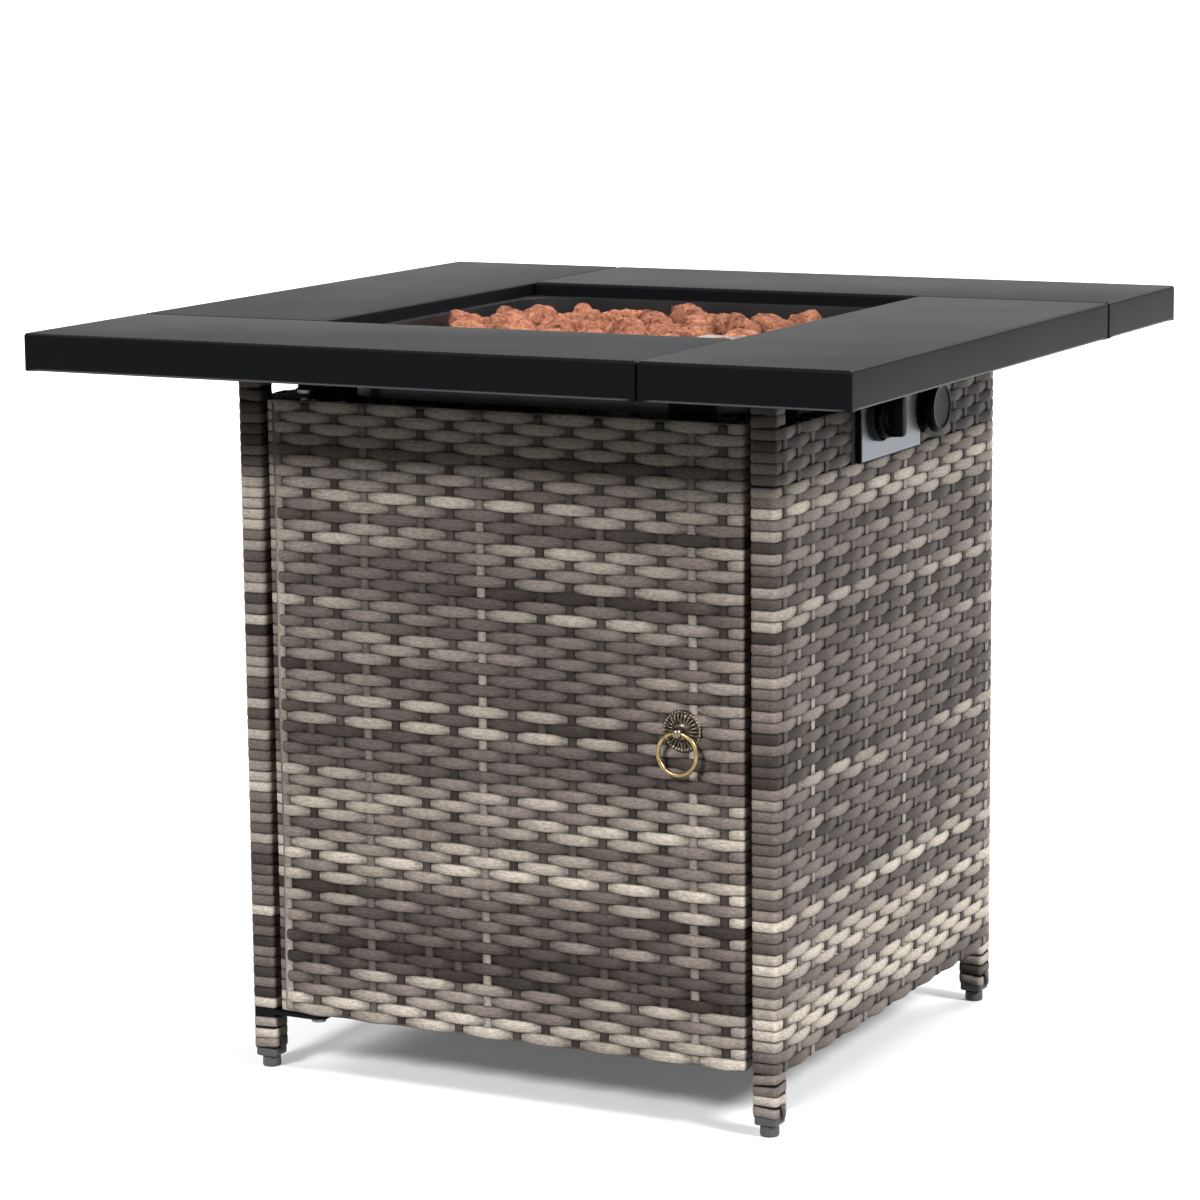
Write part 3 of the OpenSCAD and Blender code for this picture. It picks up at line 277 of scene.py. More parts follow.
# %% Mesh helpers
def quads(rows, cols, close_rows=False, close_cols=False):
    """Corner numbers of a rows x cols grid; a closed side joins its last line to its first."""
    r = np.arange(rows if close_rows else rows - 1)[:, None]
    c = np.arange(cols if close_cols else cols - 1)[None]
    r1, c1 = (r + 1) % rows * cols, (c + 1) % cols
    r = r * cols
    return np.stack([r + c, r + c1, r1 + c1, r1 + c], -1).reshape(-1, 4)


def tube(rows, cols):
    """Faces of a grid whose columns close round, with a flat cap on its first and its last row."""
    cap = np.arange(cols)[None]
    return [quads(rows, cols, close_cols=True), cap[:, ::-1], cap + cols * (rows - 1)]


def copies(faces, count, size):
    """Faces of count equal meshes of size points each, one behind the other."""
    start = size * np.arange(count)[:, None, None]
    return [(f + start).reshape(-1, f.shape[1]) for f in faces]


def gather(*groups):
    """Several groups of points, faces and, if they have them, values of the points as one."""
    start = np.cumsum([0] + [len(group[0]) for group in groups])
    faces = [f + base for group, base in zip(groups, start) for f in group[1]]
    points, _, *values = zip(*groups)
    return np.concatenate(points), faces, *(np.concatenate(v) for v in values)


def enclosed(points, faces):
    """Signed volume: a sixth of the sum of a . (b x c) over every fan triangle."""
    total = 0.0
    for f in faces:
        for k in range(1, f.shape[1] - 1):
            a, b, c = points[f[:, 0]], points[f[:, k]], points[f[:, k + 1]]
            total += np.einsum("ij,ij->", a, np.cross(b, c)) / 6
    return total


def piece(name, points, faces, body, slot, covers=(), sharp=50, **values):
    """A mesh from points in mm and arrays of faces, riding on a body; values become attributes."""
    points = np.asarray(points, float).reshape(-1, 3)
    if enclosed(points - points.mean(0), faces) < 0:
        faces = [f[:, ::-1] for f in faces]
    sizes = np.concatenate([np.full(len(f), f.shape[1]) for f in faces])
    mesh = bpy.data.meshes.new(name)
    mesh.vertices.add(len(points))
    mesh.vertices.foreach_set("co", (points * MM).astype(np.float32).ravel())
    mesh.loops.add(int(sizes.sum()))
    mesh.loops.foreach_set("vertex_index", np.concatenate([f.ravel() for f in faces]).astype(np.int32))
    mesh.polygons.add(len(sizes))
    mesh.polygons.foreach_set("loop_start", (np.cumsum(sizes) - sizes).astype(np.int32))
    for key, value in values.items():
        layer = mesh.attributes.new(key, "FLOAT", "POINT")
        layer.data.foreach_set("value", np.ravel(value).astype(np.float32))
    mesh.update(calc_edges=True)
    mesh.polygons.foreach_set("use_smooth", np.ones(len(sizes), bool))
    mesh.set_sharp_from_angle(angle=np.radians(sharp))
    mesh.materials.append(FINISH[slot])
    made = bpy.data.objects.new(name, mesh)
    bpy.context.scene.collection.objects.link(made)
    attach(made, body)
    if covers:
        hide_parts(*covers)
    print(name, len(points), "points")
    return made


# %% [markdown]
# ## The folded top
# Four equal panels lie round the opening like a pinwheel. Each is one sheet: a flat face, edges bent
# down over a small radius, a hem at the foot of the outer edges and a ledge at the opening. The
# outline is walked once, and every outline point knows how deep its edge is and how far its foot
# turns in, so the whole skirt is a single grid. Solidify then gives the sheet its thickness.

# %% Folded panels
panel_lo, panel_hi = box_mm("top_panel_front")
TOP, EDGE, SEAM_END = panel_hi[2], -panel_lo[1], panel_hi[0]
FASCIA = TOP - panel_lo[2]
SHEET, BEND, HEM, FLANGE, LEDGE = 1.5, 2.6, 10.0, 9.0, 8.0
OPENING = LEDGE - panel_hi[1]
LEDGE_DROP = 13.0
WALL_DROP = LEDGE_DROP + SHEET
SEAM = 0.6
# the corners seen from above are a little rounder than the bend, so the flat face keeps its corner
ROUND = BEND + 0.4
# from a corner to the end of its fold, and the length in which the next fold reaches its depth
NICK, SLANT = 4, 1
# the rolled foot of the edge, as inset and height over the foot, and the inset where it is flat
ROLL, ROLL_END = ((0, 2.2), (0.3, 1.0), (1.0, 0.35)), 2.2
# where no foot turns in, the last ring but one stays this much higher, so that no face is empty
BARE = 0.15


def panel_outline():
    """Points round a panel: x, y, outward x, outward y, drop and foot; corners are arcs of ROUND."""
    x0, x1, y0, y1 = -EDGE, SEAM_END, -EDGE, -OPENING
    long, deep = x1 - x0, y1 - y0
    opening = x1 + OPENING
    ledge = opening - LEDGE - SEAM
    full, brief = NICK + SLANT, SLANT / 2

    def hemmed(n):
        return [(NICK, FASCIA, 0), (NICK + HEM, FASCIA, HEM), (n - NICK - HEM, FASCIA, HEM),
                (n - NICK, FASCIA, 0)]

    # each side: its corner, the way inwards, the first direction, the corner's drop, and the
    # stretches that follow as (distance from the corner, drop, foot)
    sides = (
        ((x0, y0), (1, 1), 180, FASCIA, hemmed(long)),
        ((x1, y0), (-1, 1), 270, FASCIA,
         [(NICK, FASCIA, 0), (full, FLANGE, 0), (deep - full, FLANGE, 0), (deep - NICK, WALL_DROP, 0)]),
        ((x1, y1), (-1, -1), 0, WALL_DROP,
         [(NICK, WALL_DROP, 0), (NICK + brief, LEDGE_DROP, -LEDGE), (ledge, LEDGE_DROP, -LEDGE),
          (ledge + brief, WALL_DROP, 0), (opening - brief, WALL_DROP, 0), (opening, FLANGE, 0),
          (long - full, FLANGE, 0), (long - NICK, FASCIA, 0)]),
        ((x0, y1), (1, -1), 90, FASCIA, hemmed(deep)),
    )
    rows = []
    for corner, inward, start, drop, stretches in sides:
        middle = np.array(corner) + ROUND * np.array(inward)
        turn = np.radians(np.linspace(start, start + 90, 5))
        normal = np.stack([np.cos(turn), np.sin(turn)], -1)
        rows += [(*(middle + ROUND * n), *n, drop, 0) for n in normal]
        out = normal[-1]
        ahead = np.array([-out[1], out[0]])
        rows += [(*(np.array(corner) + ahead * d), *out, low, foot) for d, low, foot in stretches]
    return np.array(rows).T


def folded_panel(quarter):
    """Rings of the sheet: each ring point is outline - outward * inset, at TOP - depth, then turned."""
    x, y, nx, ny, drop, foot = panel_outline()
    way, cols = np.sign(foot), len(x)
    bend = np.radians(np.linspace(90, 0, 6))
    rings = [(BEND * (1 - np.cos(b)) + 0 * drop, BEND * (1 - np.sin(b)) + 0 * drop) for b in bend]
    rings += [(inset * way, drop - high) for inset, high in ROLL]
    rings += [(ROLL_END * way, drop - BARE * (way == 0)), (foot, drop)]
    points = np.stack([np.stack([x - nx * i, y - ny * i, TOP - d], -1) for i, d in rings])
    a = np.radians(90 * quarter)
    spin = np.array([[np.cos(a), np.sin(a), 0], [-np.sin(a), np.cos(a), 0], [0, 0, 1]])
    faces = [quads(len(rings), cols, close_cols=True)[:, ::-1], np.arange(cols)[None]]
    rub = np.zeros((len(rings), cols))
    # the two rings in the middle of the roll, where a pale line is painted as a highlight
    rub[-4:-2] = foot > 0
    return points.reshape(-1, 3) @ spin, faces, rub


for quarter, side in enumerate(("front", "right", "back", "left")):
    points, faces, rub = folded_panel(quarter)
    covers = ["top_panel_" + side]
    panel = piece("panel_" + side, points, faces, "base", "top_steel", covers, sharp=60, rub=rub)
    wall = panel.modifiers.new("sheet", "SOLIDIFY")
    wall.thickness, wall.offset, wall.use_even_offset = SHEET * MM, -1.0, True

# %% [markdown]
# ## Strands along a path
# A woven strand is a flat, slightly crowned ribbon. Its path is a line with rounded corners, and at
# each point of the path there is a direction outwards. The section is full outside and flatter
# inside, with only eight points round it. One array holds all the strands of a panel.


# %% Paths and ribbons
def round_path(corners, radius, step):
    """A line with right-angled corners made into arcs; gives points, right-hand normals and run."""
    corners = np.asarray(corners, float)
    way = np.diff(corners, axis=0)
    way /= np.linalg.norm(way, axis=1)[:, None]
    here, parts = corners[0], []
    for k, ahead in enumerate(way):
        last = k == len(way) - 1
        stop = corners[k + 1] - (0 if last else radius) * ahead
        n = max(1, int(np.ceil(np.linalg.norm(stop - here) / step)))
        parts.append(here + (stop - here) * np.linspace(0, 1, n, endpoint=False)[:, None])
        if not last:
            turn = np.linspace(0, np.pi / 2, 4, endpoint=False)[:, None]
            middle = stop + way[k + 1] * radius
            parts.append(middle + radius * (ahead * np.sin(turn) - way[k + 1] * np.cos(turn)))
            here = corners[k + 1] + radius * way[k + 1]
    points = np.concatenate([*parts, corners[-1:]])
    run = np.concatenate([[0], np.cumsum(np.linalg.norm(np.diff(points, axis=0), axis=1))])
    tangent = np.gradient(points, axis=0)
    tangent /= np.linalg.norm(tangent, axis=1)[:, None]
    return points, np.stack([tangent[:, 1], -tangent[:, 0]], -1), run


# the section of a strand, eight points round: a full outer face and a flatter inner one, as shares
# of half the width and half the thickness, then the shade of each point and what depth adds to it
SIDE = np.array([0.96, 0.7, 0, -0.7, -0.96, -0.96, 0, 0.96])
RISE = np.array([0.2, 0.85, 1, 0.85, 0.2, -0.6, -1, -0.6])
EDGE_SHADE = np.array([1, 0.08, 0, 0.08, 1, 1, 0, 1])
DEPTH_SHADE = np.array([0, 1.1, 0.4, 1.1, 0, 0, 0, 0])


def ribbons(centre, across, out, width, thick, tone, deep=0.0, loop=False):
    """Closed tubes: centre + across * width/2 * SIDE + out * thick/2 * RISE.

    Each point also gets its tone and a shade: dark along the two edges, more where it runs deep.
    """
    count, along = centre.shape[:2]
    n = len(SIDE)
    half = np.asarray(width)[..., None] * SIDE / 2
    points = centre[:, :, None] + np.asarray(across)[..., None, :] * half[..., None]
    points = points + np.asarray(out)[..., None, :] * (thick * RISE / 2)[:, None]
    faces = copies([quads(along, n, True, True)] if loop else tube(along, n), count, along * n)
    tone, deep = (np.broadcast_to(v, (count, along))[..., None] for v in (tone, deep))
    shade = np.clip(EDGE_SHADE + DEPTH_SHADE * deep, 0, 1)
    look = np.stack([np.broadcast_to(tone, shade.shape), shade], -1)
    return points.reshape(-1, 3), faces, look.reshape(-1, 2)


def strands(name, body, covers, *groups):
    """One rattan piece from groups of ribbons."""
    points, faces, look = gather(*groups)
    piece(name, points, faces, body, "rattan", covers, tone=look[:, 0], shade=look[:, 1])


# %% [markdown]
# ## The plain weave
# Upright stakes are tied over the rails, and strands run across them, over one stake and under the
# next, each row opposite to the row below. The lift of a strand is therefore a cosine along the row
# whose half wave is the stake spacing, with its sign turned in every other row; a window takes it
# down to nothing where the strand goes round a post. A panel is worked out in its own plane, as
# outward, along and up, and then turned to face its side.

# %% Weave rules
STRAND, STAKE, STAKE_WIDTH, STAKE_SHADE = 1.5, 0.9, 8.0, 0.3
STAKE_BEND, STAKE_STEP = 2.4, 9
STEP = 3.6
LIFT = (STRAND + STAKE) / 2
ROW_COUNT = 58
FIRST, SPACING = -211.2, 26.4
CORNER = 3.4
OFF_TUBE = STRAND / 2
# from a post to the place where the wave of a strand has its full height
EASE = 11
UP = (0.0, 0.0, 1.0)
post = sum(box_mm("foot_fr"))[:2] / 2
side_lo, side_hi = box_mm("side_frame_right")
back_lo, back_hi = box_mm("weave_back")
POST_HALF = side_hi[0] - post[0]
TURN_TO = {
    "right": [[1, 0], [0, 1]], "left": [[-1, 0], [0, 1]], "door": [[0, -1], [1, 0]], "back": [[0, 1], [1, 0]],
}


def strand_tone(rows, run, seed):
    """Colour drift: a step for each strand, bands of a few strands, and a long wave along each."""
    rng = np.random.default_rng(seed)
    step, band = rng.normal(size=(rows, 1)), rng.normal(size=rows + 4)
    band = np.convolve(band, [0.5, 1, 1, 1, 0.5], "valid")[:, None] / 1.9
    wave = np.sin(2 * np.pi * (run / rng.uniform(200, 560, (rows, 1)) + rng.uniform(0, 1, (rows, 1))))
    return np.clip(0.55 + 0.25 * step + 0.17 * band + 0.16 * wave, 0, 1)


def woven_rows(path, heights, order, first, pitch, seed, side):
    """Rows: base path + outward * LIFT * window * (1 + order * cos(pi (v - first) / SPACING))."""
    points, out, run = path
    face = points[:, 0] > points[:, 0].max() - 0.05
    low, high = run[face][[0, -1]]
    window = np.clip(np.minimum(run - low, high - run) / EASE, 0, 1)
    window = window * window * (3 - 2 * window)
    swing = order[:, None] * np.cos(np.pi * (points[:, 1] - first) / SPACING) * window
    rng = np.random.default_rng(seed + 50)
    rows = len(heights)
    wave, phase = rng.uniform(90, 210, (rows, 1)), rng.uniform(0, 6.28, (rows, 1))
    wander = 0.12 * np.sin(2 * np.pi * run / wave + phase)
    flat = points + out * (LIFT * (window + swing))[..., None]
    centre = np.concatenate([flat @ TURN_TO[side], (heights[:, None] + wander)[..., None]], -1)
    normal = np.concatenate([out @ TURN_TO[side], 0 * run[:, None]], -1)
    width = pitch * (1.02 + 0.07 * window + 0.05 * swing + 0.03 * swing**2)
    deep = ((window - swing) / 2) ** 2.2
    return ribbons(centre, UP, normal, width, STRAND, strand_tone(rows, run, seed), deep)


def hooked(inside, outside, low_end, low, high, high_end):
    """Corners of a stake that turns in over a rail at its foot and at its head."""
    return [(inside, low_end), (inside, low), (outside, low), (outside, high), (inside, high),
            (inside, high_end)]


def upright_stakes(places, corners, tones, side):
    """Stakes: a path of outward and up, repeated at each place along the panel with a slight sway."""
    points, out, run = round_path(corners, STAKE_BEND, STAKE_STEP)
    n = len(places)
    rng = np.random.default_rng(n)
    sway = 0.5 * np.sin(2 * np.pi * run / 260 + rng.uniform(0, 6.28, (n, 1)))
    flat = np.stack([points[:, 0] + 0 * sway, np.asarray(places)[:, None] + sway], -1)
    centre = np.concatenate([flat @ TURN_TO[side], (points[:, 1] + 0 * sway)[..., None]], -1)
    normal = np.concatenate([np.stack([out[:, 0], 0 * run], -1) @ TURN_TO[side], out[:, 1:]], -1)
    across = np.append(np.array([0.0, 1.0]) @ TURN_TO[side], 0.0)
    tone = np.asarray(tones)[:, None] + 0.12 * np.sin(2 * np.pi * run / 300 + np.arange(n)[:, None])
    return ribbons(centre, across, normal, STAKE_WIDTH, STAKE, np.clip(tone, 0, 1), STAKE_SHADE)


def row_heights(low, high):
    """Middle heights of the rows between two levels, and the pitch."""
    pitch = (high - low) / ROW_COUNT
    return low + pitch * (np.arange(ROW_COUNT) + 0.5), pitch


print("post at", post, "half", POST_HALF)

# %% [markdown]
# ## Side panels
# A row of a side panel goes round the front post, along the face and round the rear post in one
# strand. On the control side the upper rows stop at the control box and hook in round a short
# upright, so those rows are laid in shorter groups.

# %% Side panels
near, far = post[0] - POST_HALF - OFF_TUBE, post[0] + POST_HALF + OFF_TUBE
front, rear = post[1] - POST_HALF - OFF_TUBE, -post[1] + POST_HALF + OFF_TUBE
inner = POST_HALF * 2 + OFF_TUBE * 2
# lengths of the ends: a strand behind a post, a strand hooked in at the box, a stake behind a rail
TAIL, HOOK, HEAD_TAIL, NOTCH_TAIL = 16, 9, 22, 14
box_lo, box_hi = box_mm("control_box")
heights, pitch = row_heights(back_lo[2], back_hi[2])
order = np.where(np.arange(ROW_COUNT) % 2, 1.0, -1.0)
start_post = [(near + TAIL, front + inner), (near, front + inner), (near, front), (far, front)]
end_post = [(far, rear), (near, rear), (near, rear - inner), (near + TAIL, rear - inner)]
whole = round_path(start_post + end_post, CORNER, STEP)

# stakes: where they stand, how pale each is, and their path over both rails or up to the notch
NOTCH = box_lo[2] - 2.5
STAKE_IN, STAKE_OUT, STAKE_START = near + 0.35, far + LIFT, 75
rank = np.arange(17)
places = FIRST + SPACING * rank
stake_tones = np.where(rank % 7 == 2, 0.7, np.where(rank % 5 == 1, 0.5, 0.12))
stake_path, short_path = (
    hooked(STAKE_IN, STAKE_OUT, STAKE_START, back_lo[2] - 1.1, head, head - 1 - tail)
    for head, tail in ((back_hi[2] + 1, HEAD_TAIL), (NOTCH + 1, NOTCH_TAIL))
)
blocked = (places > box_lo[1]) & (places < box_hi[1] + 4)

# rows: those above the notch stop at the box, and the lowest of them at the ear that holds it
EAR_HIGH, EAR_END, BOX_GAP = 7, 50.4, 1.2
cut = heights > NOTCH
under_ear = cut & (heights < box_lo[2] + EAR_HIGH)
hook, box_start, box_end = far - HOOK, box_lo[1] - BOX_GAP, box_hi[1] + BOX_GAP
before = round_path([*start_post, (far, box_start), (hook, box_start)], CORNER, STEP)
after, below = (round_path([(hook, y), (far, y), *end_post], CORNER, STEP) for y in (box_end, EAR_END))
# the last whole row lies a little lower, to clear the hooks above it
ROW_DIP = 1.3
right_z = heights - ROW_DIP * (np.arange(ROW_COUNT) == np.sum(~cut) - 1)
laid = ((whole, ~cut, 5), (before, cut, 7), (after, cut & ~under_ear, 8), (below, under_ear, 9))
strands("weave_side_left", "base", ["weave_left"],
        woven_rows(whole, heights, order, FIRST, pitch, 3, "left"),
        upright_stakes(places, stake_path, stake_tones, "left"))
strands("weave_side_right", "base", ["weave_right"],
        *[woven_rows(path, right_z[at], order[at], FIRST, pitch, seed, "right") for path, at, seed in laid],
        upright_stakes(places[~blocked], stake_path, stake_tones[~blocked], "right"),
        upright_stakes(places[blocked], short_path, stake_tones[blocked], "right"))

# %% [markdown]
# ## Door and back
# The door's strands wrap round its frame and end behind it. The back has the same weave between
# its uprights, without wrapped posts.

# %% Door and back
frame_lo, frame_hi = box_mm("door_frame")
skin_lo, skin_hi = box_mm("weave_door")
half, face_y, rear_y = frame_hi[0] + OFF_TUBE, -frame_lo[1] + OFF_TUBE, -frame_hi[1] - OFF_TUBE
DOOR_TAIL, DOOR_HOOK, SKIN_EDGE, FIRST_IN = 20, 26, 2, 11
door_path = round_path([(rear_y, -half + DOOR_TAIL), (rear_y, -half), (face_y, -half), (face_y, half),
                        (rear_y, half), (rear_y, half - DOOR_TAIL)], CORNER, STEP)
door_z, door_pitch = row_heights(skin_lo[2], skin_hi[2])
door_first = FIRST_IN - (frame_hi[0] + SKIN_EDGE)
rank = np.arange(16)
door_tones = np.where(rank % 7 == 0, 0.72, np.where(rank == 3, 0.5, 0.1))
foot_z, head_z = frame_lo[2] - 0.7, frame_hi[2] + 0.7
door_stake = hooked(rear_y - LIFT, face_y + LIFT, foot_z + DOOR_HOOK, foot_z, head_z, head_z - DOOR_HOOK)
strands("weave_door_skin", "door", ["weave_door"],
        woven_rows(door_path, door_z, order, door_first, door_pitch, 12, "door"),
        upright_stakes(door_first + SPACING * rank, door_stake, door_tones, "door"))

back_y = back_lo[1] + OFF_TUBE
back_half = back_hi[0] - 0.8
back_path = round_path([(back_y, -back_half), (back_y, back_half)], CORNER, STEP)
back_stake = [(back_y + LIFT, back_lo[2] - 0.2), (back_y + LIFT, back_hi[2] + 0.2)]
strands("weave_back_skin", "base", ["weave_back"],
        woven_rows(back_path, heights, order, FIRST, pitch, 15, "back"),
        upright_stakes(places, back_stake, stake_tones, "back"))

# %% [markdown]
# ## Wrapped legs
# Below and above the panels the strand is wound round each post by itself. Each turn is a closed,
# slightly tilted band round the square tube, and the strand's end hangs loose on one side.


# %% Leg bands
def leg_bands(centre, heights, widths, seed):
    """Bands round a post: a rounded square loop, tilted by up to about a millimetre each way."""
    rng = np.random.default_rng(seed)
    h, n = POST_HALF + OFF_TUBE, len(heights)
    loop, out, _ = round_path([(h, 0), (h, h), (-h, h), (-h, -h), (h, -h), (h, 0)], CORNER, 5)
    loop, out = loop[:-1], out[:-1]
    tilt = rng.uniform(-1.1, 1.1, (n, 2)) @ (loop.T / h)
    flat = np.broadcast_to(np.asarray(centre) + loop, (n, *loop.shape))
    middle = np.concatenate([flat, (heights[:, None] + tilt)[..., None]], -1)
    normal = np.concatenate([out, np.zeros((len(out), 1))], -1)
    tone = rng.uniform(0.05, 0.95, (n, 1))
    return ribbons(middle, UP, normal, widths[:, None], STRAND, tone, loop=True)


collar_lo, collar_hi = box_mm("foot_plugs")
LEG_FOOT, LEG_HEAD = side_lo[2], box_hi[2]
LOW_TURNS, HIGH_TURNS, COVER = 4, 2, 0.94
low_w, high_w = (back_lo[2] - LEG_FOOT) / LOW_TURNS, (LEG_HEAD - back_hi[2]) / HIGH_TURNS
low_z = LEG_FOOT + low_w * (np.arange(LOW_TURNS) + 0.5)
high_z = back_hi[2] + high_w * (np.arange(HIGH_TURNS) + 0.5)
# the loose end of a strand: how far it stands off the winding, from its top to its tip
END_OUT, END_OFF = POST_HALF + STRAND, np.array([0.0, 0.9, 1.5, 1.9, 2.1, 1.9, 1.3])
END_Z = np.linspace(LEG_FOOT + 10.5, LEG_FOOT - 1.5, len(END_OFF))
END_ASIDE, END_WIDTH, END_TONE = 2.0, 7.0, 0.1
legs = []
for n, (sx, sy) in enumerate(((-1, 1), (1, 1), (-1, -1), (1, -1))):
    x, y = sx * post[0], sy * post[1]
    # the front left leg has one turn less, because the door's pivot bracket sits there
    keep = low_z[:-1] if (sx, sy) == (-1, 1) else low_z
    w = np.concatenate([np.full(len(keep), low_w), np.full(HIGH_TURNS, high_w)]) * COVER
    legs.append(leg_bands((x, y), np.concatenate([keep, high_z]), w, 31 + n))
    end = np.stack([x + END_OUT + END_OFF, y - END_ASIDE + 0 * END_Z, END_Z], -1)[None]
    legs.append(ribbons(end, (0, 1, 0), (1, 0, 0), END_WIDTH, STRAND, END_TONE))
strands("leg_windings", "base", (), *legs)

# %% [markdown]
# ## Turned pieces
# The feet, studs, knob, bezel and igniter are round, so each is a profile of distance along an axis
# and radius, turned once round. The collars are stacks of rounded squares with a profile of their own.
# Small roundings on a profile catch the light where a moulded edge would.


# %% Lathe
AXES = {"x": np.eye(3)[[1, 2, 0]], "y": -np.eye(3)[[2, 0, 1]], "z": np.eye(3)}


def lathe(profile, origin, axis, around=64):
    """Points origin + axis * along + radius * (cos, sin) in the plane across; both ends are caps."""
    along, radius = np.asarray(profile, float).T
    turn = 2 * np.pi * np.arange(around) / around
    e1, e2, e3 = AXES[axis]
    ring = np.cos(turn)[:, None] * e1 + np.sin(turn)[:, None] * e2
    points = np.asarray(origin) + along[:, None, None] * e3 + radius[:, None, None] * ring
    return points.reshape(-1, 3), tube(len(along), around)


def eased(corners, radius):
    """A profile whose inner corners b become (1 - t)^2 p + 2 t (1 - t) b + t^2 q, p and q on its legs."""
    c = np.asarray(corners, float)
    rows = [c[:1]]
    for a, b, d in zip(c[:-2], c[1:-1], c[2:]):
        la, lb = np.linalg.norm(b - a), np.linalg.norm(d - b)
        r = min(radius, 0.45 * la, 0.45 * lb)
        p, q = b - (b - a) / la * r, b + (d - b) / lb * r
        t = np.linspace(0, 1, 4)[:, None]
        rows.append((1 - t) ** 2 * p + 2 * t * (1 - t) * b + t**2 * q)
    return np.concatenate([*rows, c[-1:]])


# %% Feet and collars
FOOT_R, FOOT_TOP = 7.75, collar_lo[2] - 0.5
# half sizes of the foot's screw, the collar's bore and its plug, and of the last ring on an axis
SCREW, BORE, PLUG, AXLE = 4, 4.3, 7.4, 0.2


def square_stack(profile, centre):
    """Rings of a rounded square: each row of the profile gives the height and the half side."""
    high, side = np.asarray(profile, float).T[..., None, None]
    loop = round_path([(1, 0), (1, 1), (-1, 1), (-1, -1), (1, -1), (1, 0)], 0.21, 0.4)[0][:-1]
    flat = loop * side + centre
    rings = np.concatenate([flat, np.broadcast_to(high, (*flat.shape[:2], 1))], -1)
    return rings.reshape(-1, 3), tube(len(high), len(loop))


collars = []
low, top = collar_lo[2], collar_hi[2]
collar = eased([(low, BORE), (low, POST_HALF - 0.9), (low + 1, POST_HALF), (LEG_FOOT, POST_HALF),
                (LEG_FOOT, PLUG), (top, PLUG), (top, BORE)], 0.7)
for name in ("foot_fl", "foot_fr", "foot_bl", "foot_br"):
    lo, hi = box_mm(name)
    x, y = (lo + hi)[:2] / 2
    shape = eased([(0, AXLE), (0, FOOT_R - 0.6), (1.6, FOOT_R), (FOOT_TOP - 0.5, FOOT_R - 0.3),
                   (FOOT_TOP, SCREW), (hi[2], SCREW), (hi[2], AXLE)], 0.8)
    piece(name.replace("_", "_shape_"), *lathe(shape, (x, y, 0), "z", 48), name, "foot_plastic", [name])
    collars.append(square_stack(collar, (x, y)))
piece("foot_collars", *gather(*collars), "base", "foot_plastic", ["foot_plugs"])

# %% Studs under the top
STUD_OUT, STUD_ALONG = (EDGE + OPENING) / 2, (-150.0, 105.0)
STUD_FOOT, STUD_R = 609.5, 2.5
stud = [(STUD_FOOT, AXLE), (STUD_FOOT, STUD_R - 0.3), (STUD_FOOT + 0.4, STUD_R), (TOP - SHEET, STUD_R),
        (TOP - SHEET, AXLE)]
studs = []
for a in np.radians([0, 90, 180, 270]):
    for along in STUD_ALONG:
        x, y = along * np.cos(a) + STUD_OUT * np.sin(a), along * np.sin(a) - STUD_OUT * np.cos(a)
        studs.append(lathe(stud, (x, y, 0), "z", 16))
piece("panel_studs", *gather(*studs), "base", "top_steel")

# %% [markdown]
# ## Controls
# The knob has a round skirt and a bar to grip; the bar is a stack of super-ellipses that narrows
# towards its face. The igniter is a broad, shallow cap with a raised rim. A plain wedge on the label
# grows from low to high heat.

# %% Knob, bezel and igniter
knob_lo, knob_hi = box_mm("control_knob")
ky, kz = (knob_lo + knob_hi)[1:] / 2
SKIRT, BOSS = 6.0, 7.6
x0, tip = knob_lo[0], knob_hi[0] - knob_lo[0]
skirt = eased([(0, 7), (0, 18.4), (0.6, 19), (4.6, 18.6), (SKIRT, 17.6), (SKIRT, 11.6), (BOSS, 11),
               (BOSS, 0.3)], 1.0)


def grip_bar(around=48):
    """Rings of a super-ellipse, half sizes a, b: (a |cos|^0.5, b |sin|^0.5), drawn in to the face."""
    turn = 2 * np.pi * np.arange(around) / around
    out = np.array([SKIRT - 0.5, SKIRT + 3, tip - 2, tip - 0.7, tip - 0.15, tip])[:, None]
    wide = np.array([6.5, 6.4, 6.0, 5.5, 4.8, 3.6])[:, None]
    tall = np.array([17.6, 17.5, 17.1, 16.6, 15.9, 14.6])[:, None]
    c, s = (np.sign(wave) * np.abs(wave) ** 0.5 for wave in (np.cos(turn), np.sin(turn)))
    rings = np.stack([x0 + out + 0 * c, ky + wide * c, kz + tall * s], -1)
    return rings.reshape(-1, 3), tube(len(out), around)


points, faces = gather(lathe(skirt, (x0, ky, kz), "x", 72), grip_bar())
piece("knob_shape", points, faces, "knob", "black_plastic", ["control_knob"])

bezel_x = box_mm("knob_bezel")[0][0]
cup = eased([(0, 7.2), (0, 21.5), (5.2, 21.5), (6, 20.8), (6, 20.1), (1.5, 19.9), (1.5, 7.2)], 0.6)
piece("bezel_shape", *lathe(cup, (bezel_x, ky, kz), "x", 72), "base", "grey_plastic", ["knob_bezel"])

cap_lo, cap_hi = box_mm("igniter_button")
iy, iz = (cap_lo + cap_hi)[1:] / 2
cap = eased([(-24, 0.3), (-24, 4.8), (-3.5, 4.8), (-3.5, 15.6), (-7, 15.6), (-7, 20.4), (-6, 21),
             (-1.6, 20.8), (0, 19.2), (0, 17.2), (-0.9, 15.4), (-0.9, 0.3)], 1.0)
points, faces = lathe(cap, (cap_hi[0], iy, iz), "x", 72)
piece("igniter_cap", points, faces, "igniter", "igniter_plastic", ["igniter_button"])

# %% Heat wedge
new_finish("heat_mark", "screen_print_orange", {"Roughness": 0.5, "Base Color": srgb("#d9732a")})
MARK, MARK_THICK = 1.2, 0.2


